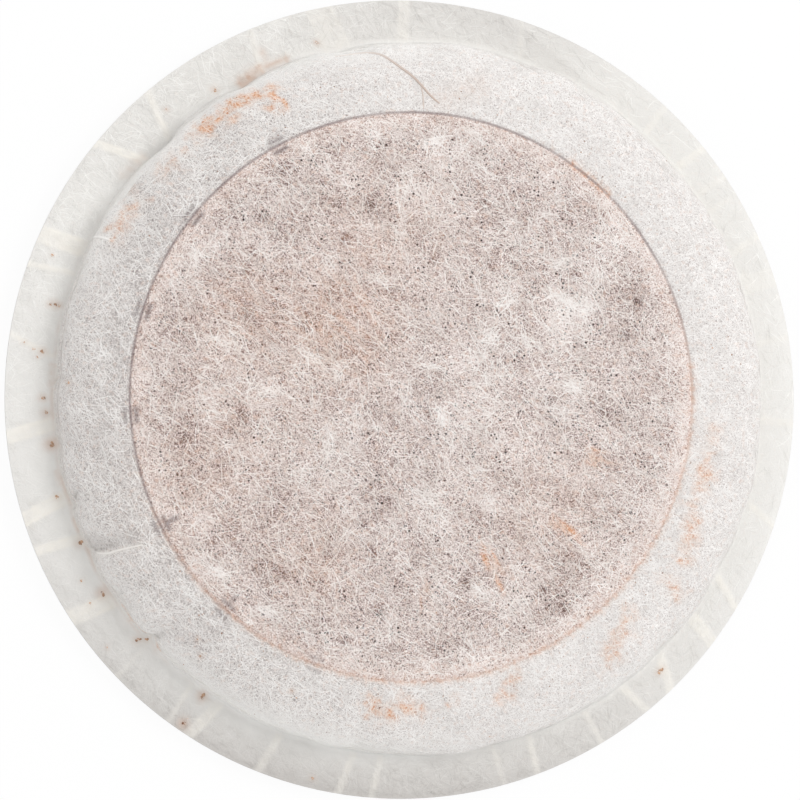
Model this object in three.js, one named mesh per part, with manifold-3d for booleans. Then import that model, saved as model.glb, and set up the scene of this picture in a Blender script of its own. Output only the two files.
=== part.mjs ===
// Hot chocolate pod: a round pad of filter paper, sealed at its rim, with an inner ring and a powder fill.
// Millimetres, +Z up. The origin is on the pod's axis, at the underside of its flat base.
import * as THREE from "three";
import { mergeVertices } from "three/addons/utils/BufferGeometryUtils.js";
import Module from "manifold-3d";

// Driving dimensions of the two filter sheets
const PAPER = 0.2; // thickness of each sheet
const SHOULDER_WIDTH = 5.9; // from the ring line out to the foot of the bowl
const SEAL_WIDTH = 4.4; // sealed rim, from the foot out to the cut edge
const BASE_DEPTH = 1.6; // drop from the rim's underside to the flat base
const BASE_SLOPE = 2.5; // width of the slope between the flat base and the rim
const BOWL_HEIGHT = 5; // rise from the rim to the ring line
const CROWN_HEIGHT = 0.5; // rise of the filled middle above the ring line
const CREASE_DEPTH = 0.15; // dip of the paper where it bends over the ring
const BELLY = 0.4; // how far the side swells past its foot
const BELLY_HEIGHT = 2; // height of the widest part above the rim
const TUCK = { reach: 0.75, rise: 0.45 }; // bend between foot and belly, as shares of the belly's two sizes

// Gathers: pleats pressed into the rim, and the side puffed out between them
const PLEAT_HEIGHT = 0.25;
const NARROW_PLEAT = 0.9; // width of a single pressed fold
const WIDE_PLEAT = 1.8; // width of a doubled fold
const PUCKER_DEPTH = 0.4; // how far the side is pinched in at a pleat
const PUFF_SPAN = 14; // degrees between two pleats at which the side puffs out fully
const NARROW_PLEATS_AT = [
  9.5, 24, 31, 39.5, 47, 72, 90, 113, 132, 139.5, 160.5, 173.5,
  203, 223.5, 233, 249, 261, 266, 284.5, 290.5, 300.5, 308.5, 330, 342.5,
]; // degrees round from +X
const WIDE_PLEATS_AT = [19, 101, 156.5, 185, 197, 213.5, 238, 314.5, 323, 357.5];

// Driving dimensions of the support ring and of the fill
const RING_RADIUS = 24.7; // middle of the ring's wall, seen as a line through the paper
const RING_WALL = 0.6;
const RIB_COUNT = 16;
const FIRST_RIB_AT = 4; // degrees round from +X
const RIB_DEPTH = 2; // reach of a rib inside the wall
const RIB_THICKNESS = 0.5;
const RIB_HEIGHT = 1.5;
const PAD_LENGTH = 1.8; // rest pad on the ring's top edge, along the wall
const PAD_WIDTH = 1.1; // and across it
const PAD_HEIGHT = 0.5;
const CLEARANCE = 0.3; // between pieces that touch in the filled pod

// Facets
const SHEET_STEP = 4; // degrees between two columns of facets on a sheet
const INNER_STEP = 6; // and on the ring and the fill
const CLOSEST_COLUMNS = 0.6; // degrees
const SHOULDER_STEPS = 5;
const CROWN_SHARES = [0.96, 0.8, 0.55, 0.28, 0]; // of the ring's radius
const UNDERSIDE_SHARES = [0, 0.55, 0.96];

// Sizes that follow from these
const FOOT_RADIUS = RING_RADIUS + SHOULDER_WIDTH;
const RIM_RADIUS = FOOT_RADIUS + SEAL_WIDTH;
const SEAL_Z = BASE_DEPTH + PAPER; // where the two sheets meet
const RIM_TOP_Z = SEAL_Z + PAPER;
const RING_LINE_Z = RIM_TOP_Z + BOWL_HEIGHT;
const RING_TOP_Z = RING_LINE_Z - CREASE_DEPTH - PAPER - CLEARANCE;
const RING_INNER_RADIUS = RING_RADIUS - RING_WALL / 2;
const RIM_MIDDLE_RADIUS = FOOT_RADIUS + SEAL_WIDTH / 2;

const PLEATS = [
  ...NARROW_PLEATS_AT.map((angle) => ({ angle, width: NARROW_PLEAT })),
  ...WIDE_PLEATS_AT.map((angle) => ({ angle, width: WIDE_PLEAT })),
].sort((a, b) => a.angle - b.angle);

const wasm = await Module();
wasm.setup();

// Angles in degrees

const wrapped = (angle) => ((angle % 360) + 360) % 360;

function apart(a, b) {
  const turn = wrapped(a - b);
  return Math.min(turn, 360 - turn);
}

const halfTurnOf = (pleat) => THREE.MathUtils.radToDeg(pleat.width / 2 / RIM_MIDDLE_RADIUS);

// Height of the folds at an angle, from 0 on bare rim to 1 on a fold's ridge
function pleatShare(angle) {
  const shares = PLEATS.map((pleat) => 1 - apart(angle, pleat.angle) / halfTurnOf(pleat));
  return Math.max(0, ...shares);
}

// Radial shift of the side at an angle: pinched in at a pleat, puffed out midway between two
function pinch(angle) {
  const passed = PLEATS.filter((pleat) => pleat.angle <= wrapped(angle)).length;
  const before = PLEATS.at(passed - 1).angle;
  const after = PLEATS[passed % PLEATS.length].angle;
  const span = wrapped(after - before);
  const puff = Math.sin((Math.PI * wrapped(angle - before)) / span);
  return -PUCKER_DEPTH * (1 - Math.sqrt(Math.max(0, puff)) * Math.min(1, span / PUFF_SPAN));
}

const evenColumns = (step) => Array.from({ length: 360 / step }, (_, i) => i * step);

// Columns on the quarter turns and on each fold's edges and ridge, with even columns in between
function pleatColumns() {
  const folds = PLEATS.flatMap((pleat) => [-1, 0, 1].map((side) => pleat.angle + side * halfTurnOf(pleat)));
  const columns = [];
  for (const angle of [0, 90, 180, 270, ...folds, ...evenColumns(SHEET_STEP)]) {
    if (columns.every((column) => apart(column, angle) > CLOSEST_COLUMNS)) {
      columns.push(wrapped(angle));
    }
  }
  return columns.sort((a, b) => a - b);
}

// Bodies of revolution

// A lathe about Z whose profile of [radius, height] pairs may differ from column to column
function revolve(profileAt, columns) {
  const points = profileAt(columns[0]).map(([radius, height]) => new THREE.Vector2(radius, height));
  const lathe = new THREE.LatheGeometry(points, columns.length);
  const position = lathe.getAttribute("position");
  for (let i = 0; i <= columns.length; i += 1) {
    const angle = columns[i % columns.length];
    const turn = THREE.MathUtils.degToRad(angle);
    profileAt(angle).forEach(([radius, height], j) => {
      const index = i * points.length + j;
      position.setXYZ(index, radius * Math.cos(turn), radius * Math.sin(turn), height);
    });
  }
  lathe.computeVertexNormals();
  return lathe;
}

const crownZ = (radius) => RING_LINE_Z + CROWN_HEIGHT * (1 - (radius / RING_RADIUS) ** 2);

// Points of the rounded shoulder, from the ring line down to the widest part of the side
function shoulder(bellyRadius, rise) {
  return Array.from({ length: SHOULDER_STEPS }, (_, i) => {
    const turn = ((i + 1) / SHOULDER_STEPS) * (Math.PI / 2);
    const radius = RING_RADIUS + (bellyRadius - RING_RADIUS) * Math.sin(turn);
    return [radius, RIM_TOP_Z + BELLY_HEIGHT + rise * Math.cos(turn)];
  });
}

function topSheetProfile(angle) {
  const foot = FOOT_RADIUS + pinch(angle);
  const foldZ = RIM_TOP_Z + PLEAT_HEIGHT * pleatShare(angle);
  const rise = BOWL_HEIGHT - BELLY_HEIGHT;
  const underside = [
    ...UNDERSIDE_SHARES.map((share) => [share * RING_RADIUS, crownZ(share * RING_RADIUS) - PAPER]),
    [RING_RADIUS, RING_LINE_Z - CREASE_DEPTH - PAPER],
    ...shoulder(foot + BELLY - PAPER, rise - PAPER),
    [foot - PAPER, SEAL_Z],
    [RIM_RADIUS, SEAL_Z],
  ];
  const outside = [
    [RIM_RADIUS, foldZ],
    [RIM_MIDDLE_RADIUS, foldZ],
    [foot, foldZ],
    [foot + BELLY * TUCK.reach, RIM_TOP_Z + BELLY_HEIGHT * TUCK.rise],
    ...shoulder(foot + BELLY, rise).reverse(),
    [RING_RADIUS, RING_LINE_Z - CREASE_DEPTH],
    ...CROWN_SHARES.map((share) => [share * RING_RADIUS, crownZ(share * RING_RADIUS)]),
  ];
  return [...underside, ...outside];
}

function bottomSheetProfile() {
  const dish = FOOT_RADIUS - PAPER;
  return [
    [0, 0],
    [dish - BASE_SLOPE, 0],
    [dish, BASE_DEPTH],
    [RIM_RADIUS, BASE_DEPTH],
    [RIM_RADIUS, SEAL_Z],
    [dish, SEAL_Z],
    [dish - BASE_SLOPE, PAPER],
    [0, PAPER],
  ];
}

function ringWallProfile() {
  const outer = RING_RADIUS + RING_WALL / 2;
  return [
    [RING_INNER_RADIUS, PAPER],
    [outer, PAPER],
    [outer, RING_TOP_Z],
    [RING_INNER_RADIUS, RING_TOP_Z],
    [RING_INNER_RADIUS, PAPER],
  ];
}

function powderProfile() {
  const side = RING_INNER_RADIUS - CLEARANCE;
  const tops = [1, ...CROWN_SHARES].map((share) => share * side);
  return [[0, PAPER], [side, PAPER], ...tops.map((radius) => [radius, crownZ(radius) - PAPER - CLEARANCE])];
}

// Joins and cuts

function toSolid(geometry) {
  const bare = new THREE.BufferGeometry();
  bare.setAttribute("position", geometry.getAttribute("position"));
  bare.setIndex(geometry.getIndex());
  const merged = mergeVertices(bare);
  const corners = merged.getIndex().array;
  const triVerts = [];
  for (let i = 0; i < corners.length; i += 3) {
    const triangle = [...corners.slice(i, i + 3)];
    if (new Set(triangle).size === 3) {
      triVerts.push(...triangle);
    }
  }
  const vertProperties = Float32Array.from(merged.getAttribute("position").array);
  const mesh = new wasm.Mesh({ numProp: 3, vertProperties, triVerts: Uint32Array.from(triVerts) });
  return new wasm.Manifold(mesh);
}

function toGeometry(solid) {
  const { vertProperties, triVerts } = solid.getMesh();
  const geometry = new THREE.BufferGeometry();
  geometry.setAttribute("position", new THREE.BufferAttribute(vertProperties, 3));
  geometry.setIndex(new THREE.BufferAttribute(triVerts, 1));
  geometry.computeVertexNormals();
  return geometry;
}

// Copies of a box, one for each rib, standing at a radius and hanging from a height
function boxesRoundRing([depth, length, height], radius, topZ) {
  return Array.from({ length: RIB_COUNT }, (_, i) => {
    const box = new THREE.BoxGeometry(depth, length, height);
    box.translate(radius, 0, topZ - height / 2);
    box.rotateZ(THREE.MathUtils.degToRad(FIRST_RIB_AT + (360 / RIB_COUNT) * i));
    return toSolid(box);
  });
}

// The ribs reach from the middle of the wall inwards, with room all round where grow is given
function ribs(grow = 0) {
  const depth = RIB_DEPTH + RING_WALL / 2 + grow;
  const size = [depth, RIB_THICKNESS + 2 * grow, RIB_HEIGHT + 2 * grow];
  return boxesRoundRing(size, RING_RADIUS - depth / 2, RING_TOP_Z + grow);
}

const restPads = () => boxesRoundRing([PAD_WIDTH, PAD_LENGTH, PAD_HEIGHT], RING_RADIUS, RING_TOP_Z);

function supportRing() {
  const wall = toSolid(revolve(ringWallProfile, evenColumns(INNER_STEP)));
  return toGeometry([...ribs(), ...restPads()].reduce((joined, piece) => joined.add(piece), wall));
}

// The powder packs around the ribs and under the rest pads
function powderFill() {
  const puck = toSolid(revolve(powderProfile, evenColumns(INNER_STEP)));
  const padRoom = [PAD_WIDTH, PAD_LENGTH, PAD_HEIGHT].map((size) => size + 2 * CLEARANCE);
  const rooms = [...ribs(CLEARANCE), ...boxesRoundRing(padRoom, RING_RADIUS, RING_TOP_Z + CLEARANCE)];
  return toGeometry(rooms.reduce((left, room) => left.subtract(room), puck));
}

function part(name, geometry, color, roughness) {
  const material = new THREE.MeshStandardMaterial({ color, roughness, metalness: 0 });
  const mesh = new THREE.Mesh(geometry, material);
  mesh.name = name;
  return mesh;
}

const pod = new THREE.Group();
pod.add(
  part("bottom_filter_sheet", revolve(bottomSheetProfile, evenColumns(SHEET_STEP)), 0xe9e7e2, 0.95),
  part("support_ring", supportRing(), 0xd9d5d0, 0.5),
  part("cocoa_powder_fill", powderFill(), 0x7a5240, 1),
  part("top_filter_sheet", revolve(topSheetProfile, pleatColumns()), 0xe6e2dd, 0.95),
);

export default pod;
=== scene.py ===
"""Looks of the hot chocolate pod, in metres, in the part's own frame.

Two sheets of filter paper with their fibres and folds, the cocoa that shows through or lies on them,
and the ring and fill inside. A place on a sheet is given flat, as it lay before it was drawn: an angle,
and the distance along the paper from the sheet's middle.
"""

import math

import bmesh
import bpy
import numpy as np
from mathutils import Matrix, Vector


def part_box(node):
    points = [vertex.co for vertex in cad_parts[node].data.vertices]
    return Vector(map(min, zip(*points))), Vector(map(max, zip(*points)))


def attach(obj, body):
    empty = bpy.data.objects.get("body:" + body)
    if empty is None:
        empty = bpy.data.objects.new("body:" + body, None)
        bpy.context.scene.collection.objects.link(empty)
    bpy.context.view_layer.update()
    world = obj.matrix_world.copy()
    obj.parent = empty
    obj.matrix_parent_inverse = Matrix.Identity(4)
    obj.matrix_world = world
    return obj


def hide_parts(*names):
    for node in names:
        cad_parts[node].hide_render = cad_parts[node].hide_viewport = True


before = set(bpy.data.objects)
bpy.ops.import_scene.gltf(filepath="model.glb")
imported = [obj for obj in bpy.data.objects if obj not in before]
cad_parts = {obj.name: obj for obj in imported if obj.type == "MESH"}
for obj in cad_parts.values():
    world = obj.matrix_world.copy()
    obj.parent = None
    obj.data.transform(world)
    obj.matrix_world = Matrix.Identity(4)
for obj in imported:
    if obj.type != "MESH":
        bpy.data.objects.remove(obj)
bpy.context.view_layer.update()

MM = 0.001

# Sizes from the frame
TOP_LOW, TOP_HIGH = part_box("top_filter_sheet")
RIM_RADIUS = TOP_HIGH.x
SEAL_Z = TOP_LOW.z
CROWN_TOP_Z = TOP_HIGH.z

# Sizes of the two sheets, as in the solids
PAPER = 0.2 * MM
SHOULDER_WIDTH = 5.9 * MM
SEAL_WIDTH = 4.4 * MM
BASE_SLOPE = 2.5 * MM
CROWN_HEIGHT = 0.5 * MM
BELLY = 0.4 * MM
BELLY_HEIGHT = 2 * MM
FOOT_RADIUS = RIM_RADIUS - SEAL_WIDTH
RING_RADIUS = FOOT_RADIUS - SHOULDER_WIDTH
DISH_RADIUS = FOOT_RADIUS - PAPER
RIM_TOP_Z = SEAL_Z + PAPER
RING_LINE_Z = CROWN_TOP_Z - CROWN_HEIGHT
BELLY_Z = RIM_TOP_Z + BELLY_HEIGHT

# How the filled body lies in its rim
BODY_OFFSET = 0.45 * MM  # of the body's side from the rim's middle, towards +X
FLARE = 1 * MM  # of the foot on the right, where the side runs out into the rim
BELLY_FLARE = 0.15  # share of the flare at the belly
LEFT_FLARE = 0.6  # share of it on the left
FLARE_MIDDLE = 10  # degrees round from +X, as are all angles here

# Gathers: each pleat's angle at the foot and at the edge, its width in millimetres and how clear it is
PLEATS = [
    (9, 9.3, 0.5, 0.3), (18.5, 18.3, 1.6, 0.35), (23.9, 24.6, 0.5, 0.5), (31.3, 31.6, 0.4, 0.3),
    (34.8, 34.5, 0.5, 0.35), (40.1, 39.6, 0.6, 0.65), (47.5, 48, 0.5, 0.4), (71, 72.5, 0.4, 0.25),
    (90.3, 90, 0.9, 0.5), (101, 102.6, 2.4, 0.45), (114, 113, 0.5, 0.5), (132.6, 130.4, 0.5, 0.8),
    (138.2, 141, 0.7, 1), (155.5, 156.2, 1.5, 1), (159.8, 160.8, 0.4, 0.8), (173.6, 171, 0.4, 0.7),
    (184.4, 185.8, 1.2, 1), (196.3, 197.8, 1.2, 1), (203.4, 202.5, 0.8, 0.9), (214.6, 213.2, 1.4, 0.85),
    (223.5, 224, 0.4, 0.25), (233.1, 233.7, 0.4, 0.45), (238.5, 237.2, 0.9, 0.7), (249.6, 248.4, 0.6, 0.55),
    (261.8, 260.4, 0.6, 0.55), (266.2, 265.3, 0.5, 0.5), (284.4, 284.9, 0.4, 0.4), (290.5, 289.9, 0.5, 0.6),
    (300.3, 300.3, 0.4, 0.5), (307.5, 308.4, 0.6, 0.7), (315.4, 312.9, 0.8, 0.9), (323.3, 322.1, 1, 0.9),
    (330.9, 328.1, 0.6, 0.9), (343.5, 341.4, 0.5, 0.7), (356.9, 356.6, 0.6, 0.5),
]
PLEAT_EDGE = 0.3 * MM  # width of a fold's slope
PLEAT_LINE = 0.2 * MM  # width of its pressed edges
PLEAT_HEIGHT = 0.08 * MM
PLEAT_TOP = 0.8  # how clear a fold's flat top is, against its edges
PLEAT_WAVE = 1.2 * MM  # length of the clearer stretches
PUCKER_DEPTH = 0.12 * MM  # of the side at a pleat
PUFF_SPAN = 14  # degrees between two pleats at which the side puffs out fully
PINCHES = [  # angle, half width in degrees and depth in millimetres where the foot is drawn in further
    (15, 1.5, 0.1), (29.5, 1.5, 0.12), (35.5, 1.5, 0.12), (67, 3, 0.15), (101, 3, 0.15),
    (118, 2.5, 0.35), (134.5, 3, 0.45), (151.3, 1.5, 0.15), (176.5, 2, 0.15), (188, 1.5, 0.1),
    (197.5, 1.8, 0.15), (206.5, 1.8, 0.12), (223.2, 1.5, 0.3), (254, 2, 0.15), (332, 2, 0.1),
    (356.7, 1.5, 0.12),
]

# Relief of the paper
LUMP_SIZES = {7 * MM: 0.1 * MM, 2.6 * MM: 0.016 * MM}  # length of the waves, and their height
LUMPS_FADE = 2.5 * MM, 0.5 * MM  # above the foot, where the lumps start to fade and where they end
RING_CALM = 0.65  # how much flatter the lumps are at the ring line
RING_CALM_WIDTH = 1.2 * MM
GROOVE_DEPTH = 0.1 * MM  # where the paper bends over the ring
GROOVE_WIDTH = 0.2 * MM
WALL_CREASES = [  # angle at the foot and at the upper end, reach and depth in millimetres
    (16.2, 14.4, 1.8, 0.07), (29.4, 29, 1.6, 0.07), (34, 36, 1.5, 0.07), (68, 66.5, 1.5, 0.06),
    (101, 100, 1.4, 0.06), (133, 131, 1.8, 0.16), (137, 138, 1.5, 0.12), (177, 177, 3, 0.16),
    (188, 188.5, 1.6, 0.1), (198, 196, 3.4, 0.22), (205.6, 206.8, 6, 0.22), (222.8, 223.4, 3.6, 0.24),
    (253.5, 255, 2.2, 0.08), (331.5, 332.5, 1.4, 0.06),
]
WALL_CREASE_WIDTH = 0.3 * MM
WALL_CREASE_FADE = 0.6  # share of the reach from which a crease fades
PRESSED = 0.08 * MM  # how much thinner each sheet is at its cut edge
PRESSED_WIDTH = 1 * MM
BASE_WRINKLES = 0.06 * MM, 2.6 * MM  # height and length of the waves round the base
RIM_WAVE = 0.08 * MM
RIM_WAVES = [(1, 3, 40), (0.6, 7, 110)]  # strength, number round the rim, and start in degrees
RIM_DROOP = 0.5 * MM  # of the edge, where the rim hangs lower
RIM_DROOP_AT, RIM_DROOP_SPAN = 252, 45
RIM_DIP = 0.14 * MM  # of the edge, where the rim is bent down along a slanting line
RIM_DIP_FROM, RIM_DIP_SLANT, RIM_DIP_MIDDLE, RIM_DIP_TO = 57, 19, 80, 104
RIM_DIP_STEPS = (-2, 3), (-6, 6)  # degrees over which the bend starts and ends

# Facets
COLUMNS = 1120
CROWN_ROWS = 18
NEAR_ROWS = 9
RING_ROWS = 5
SHOULDER_ROWS = 22
TUCK_ROWS = 7
RIM_ROWS = 14
UNDERSIDE_ROWS = 6
UNDERSIDE_SHARES = 0.9, 0.5  # radii of the rows under the crown, against the ring's
INNERMOST = 0.4 * MM
EDGE_BAND = 0.05 * MM  # width of the last row, beside the cut edge
RING_BAND = 0.5 * MM  # width of the closest rows on each side of the ring line
NEAR_BAND = 3 * MM  # width of the close rows inside it
TUCK_END = math.radians(80)

# Camera, fitted to the photograph
CAMERA_TILT = math.radians(9.5)
CAMERA_SWING = math.radians(12)
CAMERA_DISTANCE = 0.45
CAMERA_AIM = Vector((-0.38 * MM, -0.13 * MM, 2 * MM))
HALF_VIEW = 35.03 * MM  # half the frame's width at the aim
SENSOR = 36
CLIP_START = 0.01


def smooth(value, low, high):
    """0 below low, 1 above high, and a soft step between them."""
    share = np.clip((value - low) / (high - low), 0, 1)
    return share * share * (3 - 2 * share)


def bell(value, width):
    return np.exp(-((value / width) ** 2))


def turned(angle, origin):
    """Degrees from one angle to another, from -180 to 180."""
    return (angle - origin + 180) % 360 - 180


def facing(angle, towards):
    """1 on the side that faces an angle, -1 on the far side."""
    return np.cos(np.radians(angle - towards))


def waves(points, length, seed, count=24):
    """A smooth random field of unit spread, as a sum of plane waves of about that length."""
    rng = np.random.default_rng(seed)
    direction = rng.uniform(0, 2 * np.pi, count)
    number = 2 * np.pi / (length * rng.uniform(0.7, 1.4, count))
    phase = rng.uniform(0, 2 * np.pi, count)
    total = np.zeros(points.shape[:-1])
    for k in range(count):
        along = points[..., 0] * np.cos(direction[k]) + points[..., 1] * np.sin(direction[k])
        total += np.cos(number[k] * along + phase[k])
    return total / math.sqrt(count / 2)


# Profiles: radius and height of each row, and its share of the side's shift and of the flare


def crown_height(radius):
    return RING_LINE_Z + CROWN_HEIGHT * (1 - (radius / RING_RADIUS) ** 2)


def rim_rows(start):
    """Radii from a start out to the cut edge, with a narrow last row that keeps the edge crisp."""
    return np.append(np.linspace(start, RIM_RADIUS - EDGE_BAND, RIM_ROWS - 1), RIM_RADIUS)


def top_outside():
    """From the crown's middle out to the cut edge."""
    crown = np.concatenate((
        np.linspace(INNERMOST, RING_RADIUS - NEAR_BAND, CROWN_ROWS),
        np.linspace(RING_RADIUS - NEAR_BAND, RING_RADIUS - RING_BAND, NEAR_ROWS)[1:],
        np.linspace(RING_RADIUS - RING_BAND, RING_RADIUS, RING_ROWS)[1:],
    ))
    reach = FOOT_RADIUS + BELLY - RING_RADIUS
    close = np.arcsin(np.linspace(0, RING_BAND, RING_ROWS)[1:] / reach)
    shoulder = np.concatenate((close, np.linspace(close[-1], np.pi / 2, SHOULDER_ROWS)[1:]))
    tuck = np.linspace(0, TUCK_END, TUCK_ROWS)[1:]
    rim = rim_rows(FOOT_RADIUS + PAPER)
    pressed = PRESSED * smooth(rim, RIM_RADIUS - PRESSED_WIDTH, RIM_RADIUS)
    inwards = (RIM_RADIUS - rim) / (RIM_RADIUS - rim[0])
    radius = (crown, RING_RADIUS + reach * np.sin(shoulder), FOOT_RADIUS + BELLY * np.cos(tuck), rim)
    height = (
        crown_height(crown),
        BELLY_Z + (RING_LINE_Z - BELLY_Z) * np.cos(shoulder),
        BELLY_Z - BELLY_HEIGHT * np.sin(tuck),
        RIM_TOP_Z - pressed,
    )
    shifted = (0 * crown, np.sin(shoulder), 1 + 0 * tuck, inwards)
    tuck_flare = BELLY_FLARE + (1 - BELLY_FLARE) * np.sin(tuck) ** 3
    flared = (0 * crown, BELLY_FLARE * np.sin(shoulder) ** 4, tuck_flare, inwards)
    return tuple(np.concatenate(part) for part in (radius, height, shifted, flared))


def top_inside():
    """From the edge's lower corner back to the middle, one sheet's thickness below the outside."""
    turn = np.linspace(np.pi / 2, 0, UNDERSIDE_ROWS)
    reach = FOOT_RADIUS + BELLY - PAPER - RING_RADIUS
    rise = RING_LINE_Z - BELLY_Z - PAPER
    crown = np.append(np.multiply(UNDERSIDE_SHARES, RING_RADIUS), INNERMOST)
    radius = ([RIM_RADIUS, FOOT_RADIUS - PAPER], RING_RADIUS + reach * np.sin(turn), crown)
    height = ([SEAL_Z, SEAL_Z], BELLY_Z + rise * np.cos(turn), crown_height(crown) - PAPER)
    shifted = ([0, 1], np.sin(turn), 0 * crown)
    flared = ([0, 1], BELLY_FLARE * np.sin(turn) ** 4, 0 * crown)
    return tuple(np.concatenate(part) for part in (radius, height, shifted, flared))


def bottom_outside():
    """From the base's middle out to the cut edge, on the underside."""
    base = np.linspace(INNERMOST, DISH_RADIUS - BASE_SLOPE, CROWN_ROWS)
    turn = np.linspace(0, np.pi, SHOULDER_ROWS)[1:-1]
    slope = DISH_RADIUS - BASE_SLOPE / 2 - BASE_SLOPE / 2 * np.cos(turn)
    rim = rim_rows(DISH_RADIUS)
    depth = SEAL_Z - PAPER
    pressed = PRESSED * smooth(rim, RIM_RADIUS - PRESSED_WIDTH, RIM_RADIUS)
    height = (0 * base, depth * (1 - np.cos(turn)) / 2, depth + pressed)
    return np.concatenate((base, slope, rim)), np.concatenate(height)


def lengths_along(radius, height):
    steps = np.hypot(np.diff(radius), np.diff(height))
    return radius[0] + np.concatenate(([0], np.cumsum(steps)))


TOP_LENGTHS = lengths_along(*top_outside()[:2])
RING_AT = float(TOP_LENGTHS[CROWN_ROWS + NEAR_ROWS + RING_ROWS - 3])  # places along the paper
FOOT_AT = float(TOP_LENGTHS[-RIM_ROWS])
EDGE_AT = float(TOP_LENGTHS[-1])

# Marks on the paper: angles in degrees, lengths along the paper in millimetres

PALE_PATCHES = [  # x, y and size in millimetres, and strength
    (1.6, 19.7, 3, 0.8), (14.7, 8, 1.8, 1.6), (12.8, 6.6, 1.6, 1), (6, 3.7, 2.5, 0.9),
    (5.1, -1.6, 3.5, 1), (-6.7, -4.6, 1.8, 1), (13, 2.8, 2.5, 0.6), (17.8, 13.7, 2.5, 1),
    (-18, 12.8, 2, 0.8), (1.6, -9, 3, 0.65), (8.6, -16.8, 2, 0.9), (-15.9, -0.3, 2.5, 0.6),
    (13, -2.9, 3, 0.5), (-5.4, -10.7, 1.5, 0.6),
]
BROWN_PATCHES = [
    (-3.4, 16.7, 1.8, 1.5), (-14.1, 7.6, 2.5, 1.2), (-19.8, -4.2, 2.5, 1.3), (-6.2, 5.8, 4, 0.9),
    (-1.9, -8.1, 3, 0.65), (-8.9, -14.2, 4, 0.8), (-14.1, -12.9, 3, 0.7), (19.5, 8.4, 2.5, 1.3),
    (18, -1.6, 3, 0.6), (13, -17.2, 2.5, 0.9), (11.2, -10.7, 3, 0.15), (-10.6, 17.1, 4, 0.8),
    (-22, 5.8, 3, 0.7), (4.2, -15, 3, 0.1), (7.7, 14.5, 3, 0.4),
    (16.4, 16.4, 2, 0.9), (-11.6, -20, 2, 0.6), (0, 22.6, 2, 0.4),
]
WARM_PATCHES = [
    (-6.2, 5.8, 4.5, 0.5), (-15, 8, 4, 0.3), (-19, -8, 5, 0.25), (-9, -14, 4, 0.3), (12, -10, 5, 0.2),
    (-3, 14, 6, 0.22), (-15, 0, 7, 0.16),
]
WARM_PATCH = 0.5  # strength of the tint in a warm patch
CLOUD_SIZES = 5 * MM, 1.9 * MM  # of the chance areas of thicker and thinner paper
CLOUDS = 0.2, 0.15  # strength of each size on the upper sheet
BASE_CLOUDS = 0.3, 0.2  # and on the lower one
PATCH_CLOUD = 0.52  # how much the patches above count
RING_CLOUD = 3.4 * MM, 0.8 * MM  # inside the ring line, where the paper starts to get paler and ends
RING_CLOUD_AT = 335  # angle at which it does so most

SMUDGES = [  # points, width in millimetres and strength
    ([(128.8, 30.2), (126.4, 29.8), (123.6, 29.8), (120.4, 30.1)], 0.75, 1),
    ([(118.6, 30.1), (116.6, 29.7), (115, 29.2), (114.8, 28)], 0.65, 1),
    ([(138.6, 29.7), (135, 29.9)], 0.7, 0.35),
    ([(152.2, 30), (148.2, 29.9), (145, 29.7)], 0.7, 0.5),
    ([(261.8, 27), (265, 27.9), (267.4, 26.7), (271, 27.2)], 0.6, 0.75),
    ([(276.8, 26.9), (277.6, 26.5)], 0.4, 0.7),
    ([(286.6, 27.2), (290.5, 25.6)], 0.6, 0.45),
    ([(315, 26.9), (310, 27.8), (307, 28.9)], 0.7, 0.5),
    ([(325.2, 27.4), (324.2, 28.9)], 0.6, 0.5),
    ([(330, 27.7), (334.5, 27.1), (338.5, 26.7)], 0.75, 0.5),
    ([(343, 26.6), (348.5, 26.5)], 0.65, 0.6),
    ([(352.6, 26.7), (354.4, 26.6)], 0.6, 0.3),
    ([(341.2, 16.6), (341.2, 17.8)], 0.45, 0.85),
    ([(318.8, 16.2), (320.6, 18.6)], 0.4, 0.85),
    ([(295, 14.5), (296, 18.2)], 0.35, 0.7),
    ([(273, 15.8), (272.6, 18.4)], 0.3, 0.6),
    ([(217, 33.6), (219.5, 33.8), (222.6, 33.4), (226, 33.9)], 0.35, 0.4),
]
# Tan bands, mostly hugging the foot: points, width in millimetres and strength
TAN_BANDS = [
    ([(117.6, 34.7), (114, 34.7)], 0.5, 0.75),
    ([(114, 34.7), (109.4, 34.6)], 0.35, 0.5),
    ([(112.4, 34.7), (112.6, 36.4)], 0.35, 0.3),
    ([(138, 34.6), (142, 34.8)], 0.5, 0.2),
    ([(78, 27.8), (84, 26)], 1.2, 0.14),
    ([(175, 34.6), (178.5, 34.5)], 0.3, 0.3),
    ([(192, 34.6), (194, 34.6)], 0.3, 0.25),
]
# Painted highlight along the crest of the fold at 207 degrees: points, width in millimetres and strength
RIDGE_HIGHLIGHTS = [([(206.2, 33), (207.3, 30.4), (208, 28.3), (208.6, 27)], 0.26, 0.25)]
# Painted shadow in hollows and creases of the side, above the fold at 207 degrees and in a pocket at the
# foot: points, width in millimetres and strength
PAINTED_HOLLOW_SHADOWS = [
    ([(204.4, 32.6), (205.4, 30.4), (206.6, 28)], 0.8, 0.3),
    ([(197.6, 33.2), (195.6, 30.8)], 0.22, 0.4),
    ([(223, 33.4), (223.6, 30.6)], 0.25, 0.35),
    ([(129.5, 34.4), (133, 34.2), (137, 34.5)], 0.4, 0.15),
]
RING_STAINS = [(46, 57, 0.6), (-1, 8, 0.35), (203, 245, 0.25), (245, 326, 0.3), (326, 359, 0.25)]
RING_STAIN_WIDTH = 0.35
STRAY = 0.3 * MM  # how far a smudge strays from its path
STRAY_SIZE = 1.5 * MM
MOTTLE_SIZE = 0.9 * MM  # of the lighter spots in a stain
PEACH_BAND = 1.1 * MM  # paper held clear of the powder, inside the ring line
PEACH = 0.07  # strength of the tint there
DUST_BAND = 0.45  # how many fewer pores show there
DUST_BARE = 0.45, 1.25  # share of the pores beyond the line on the right, and what the left adds
DUST_FADE = 0.75, 0.25  # how much fewer they are at the foot, and how much less so on the left
DUST_LEFT = 185  # angle of the left side's middle

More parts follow.
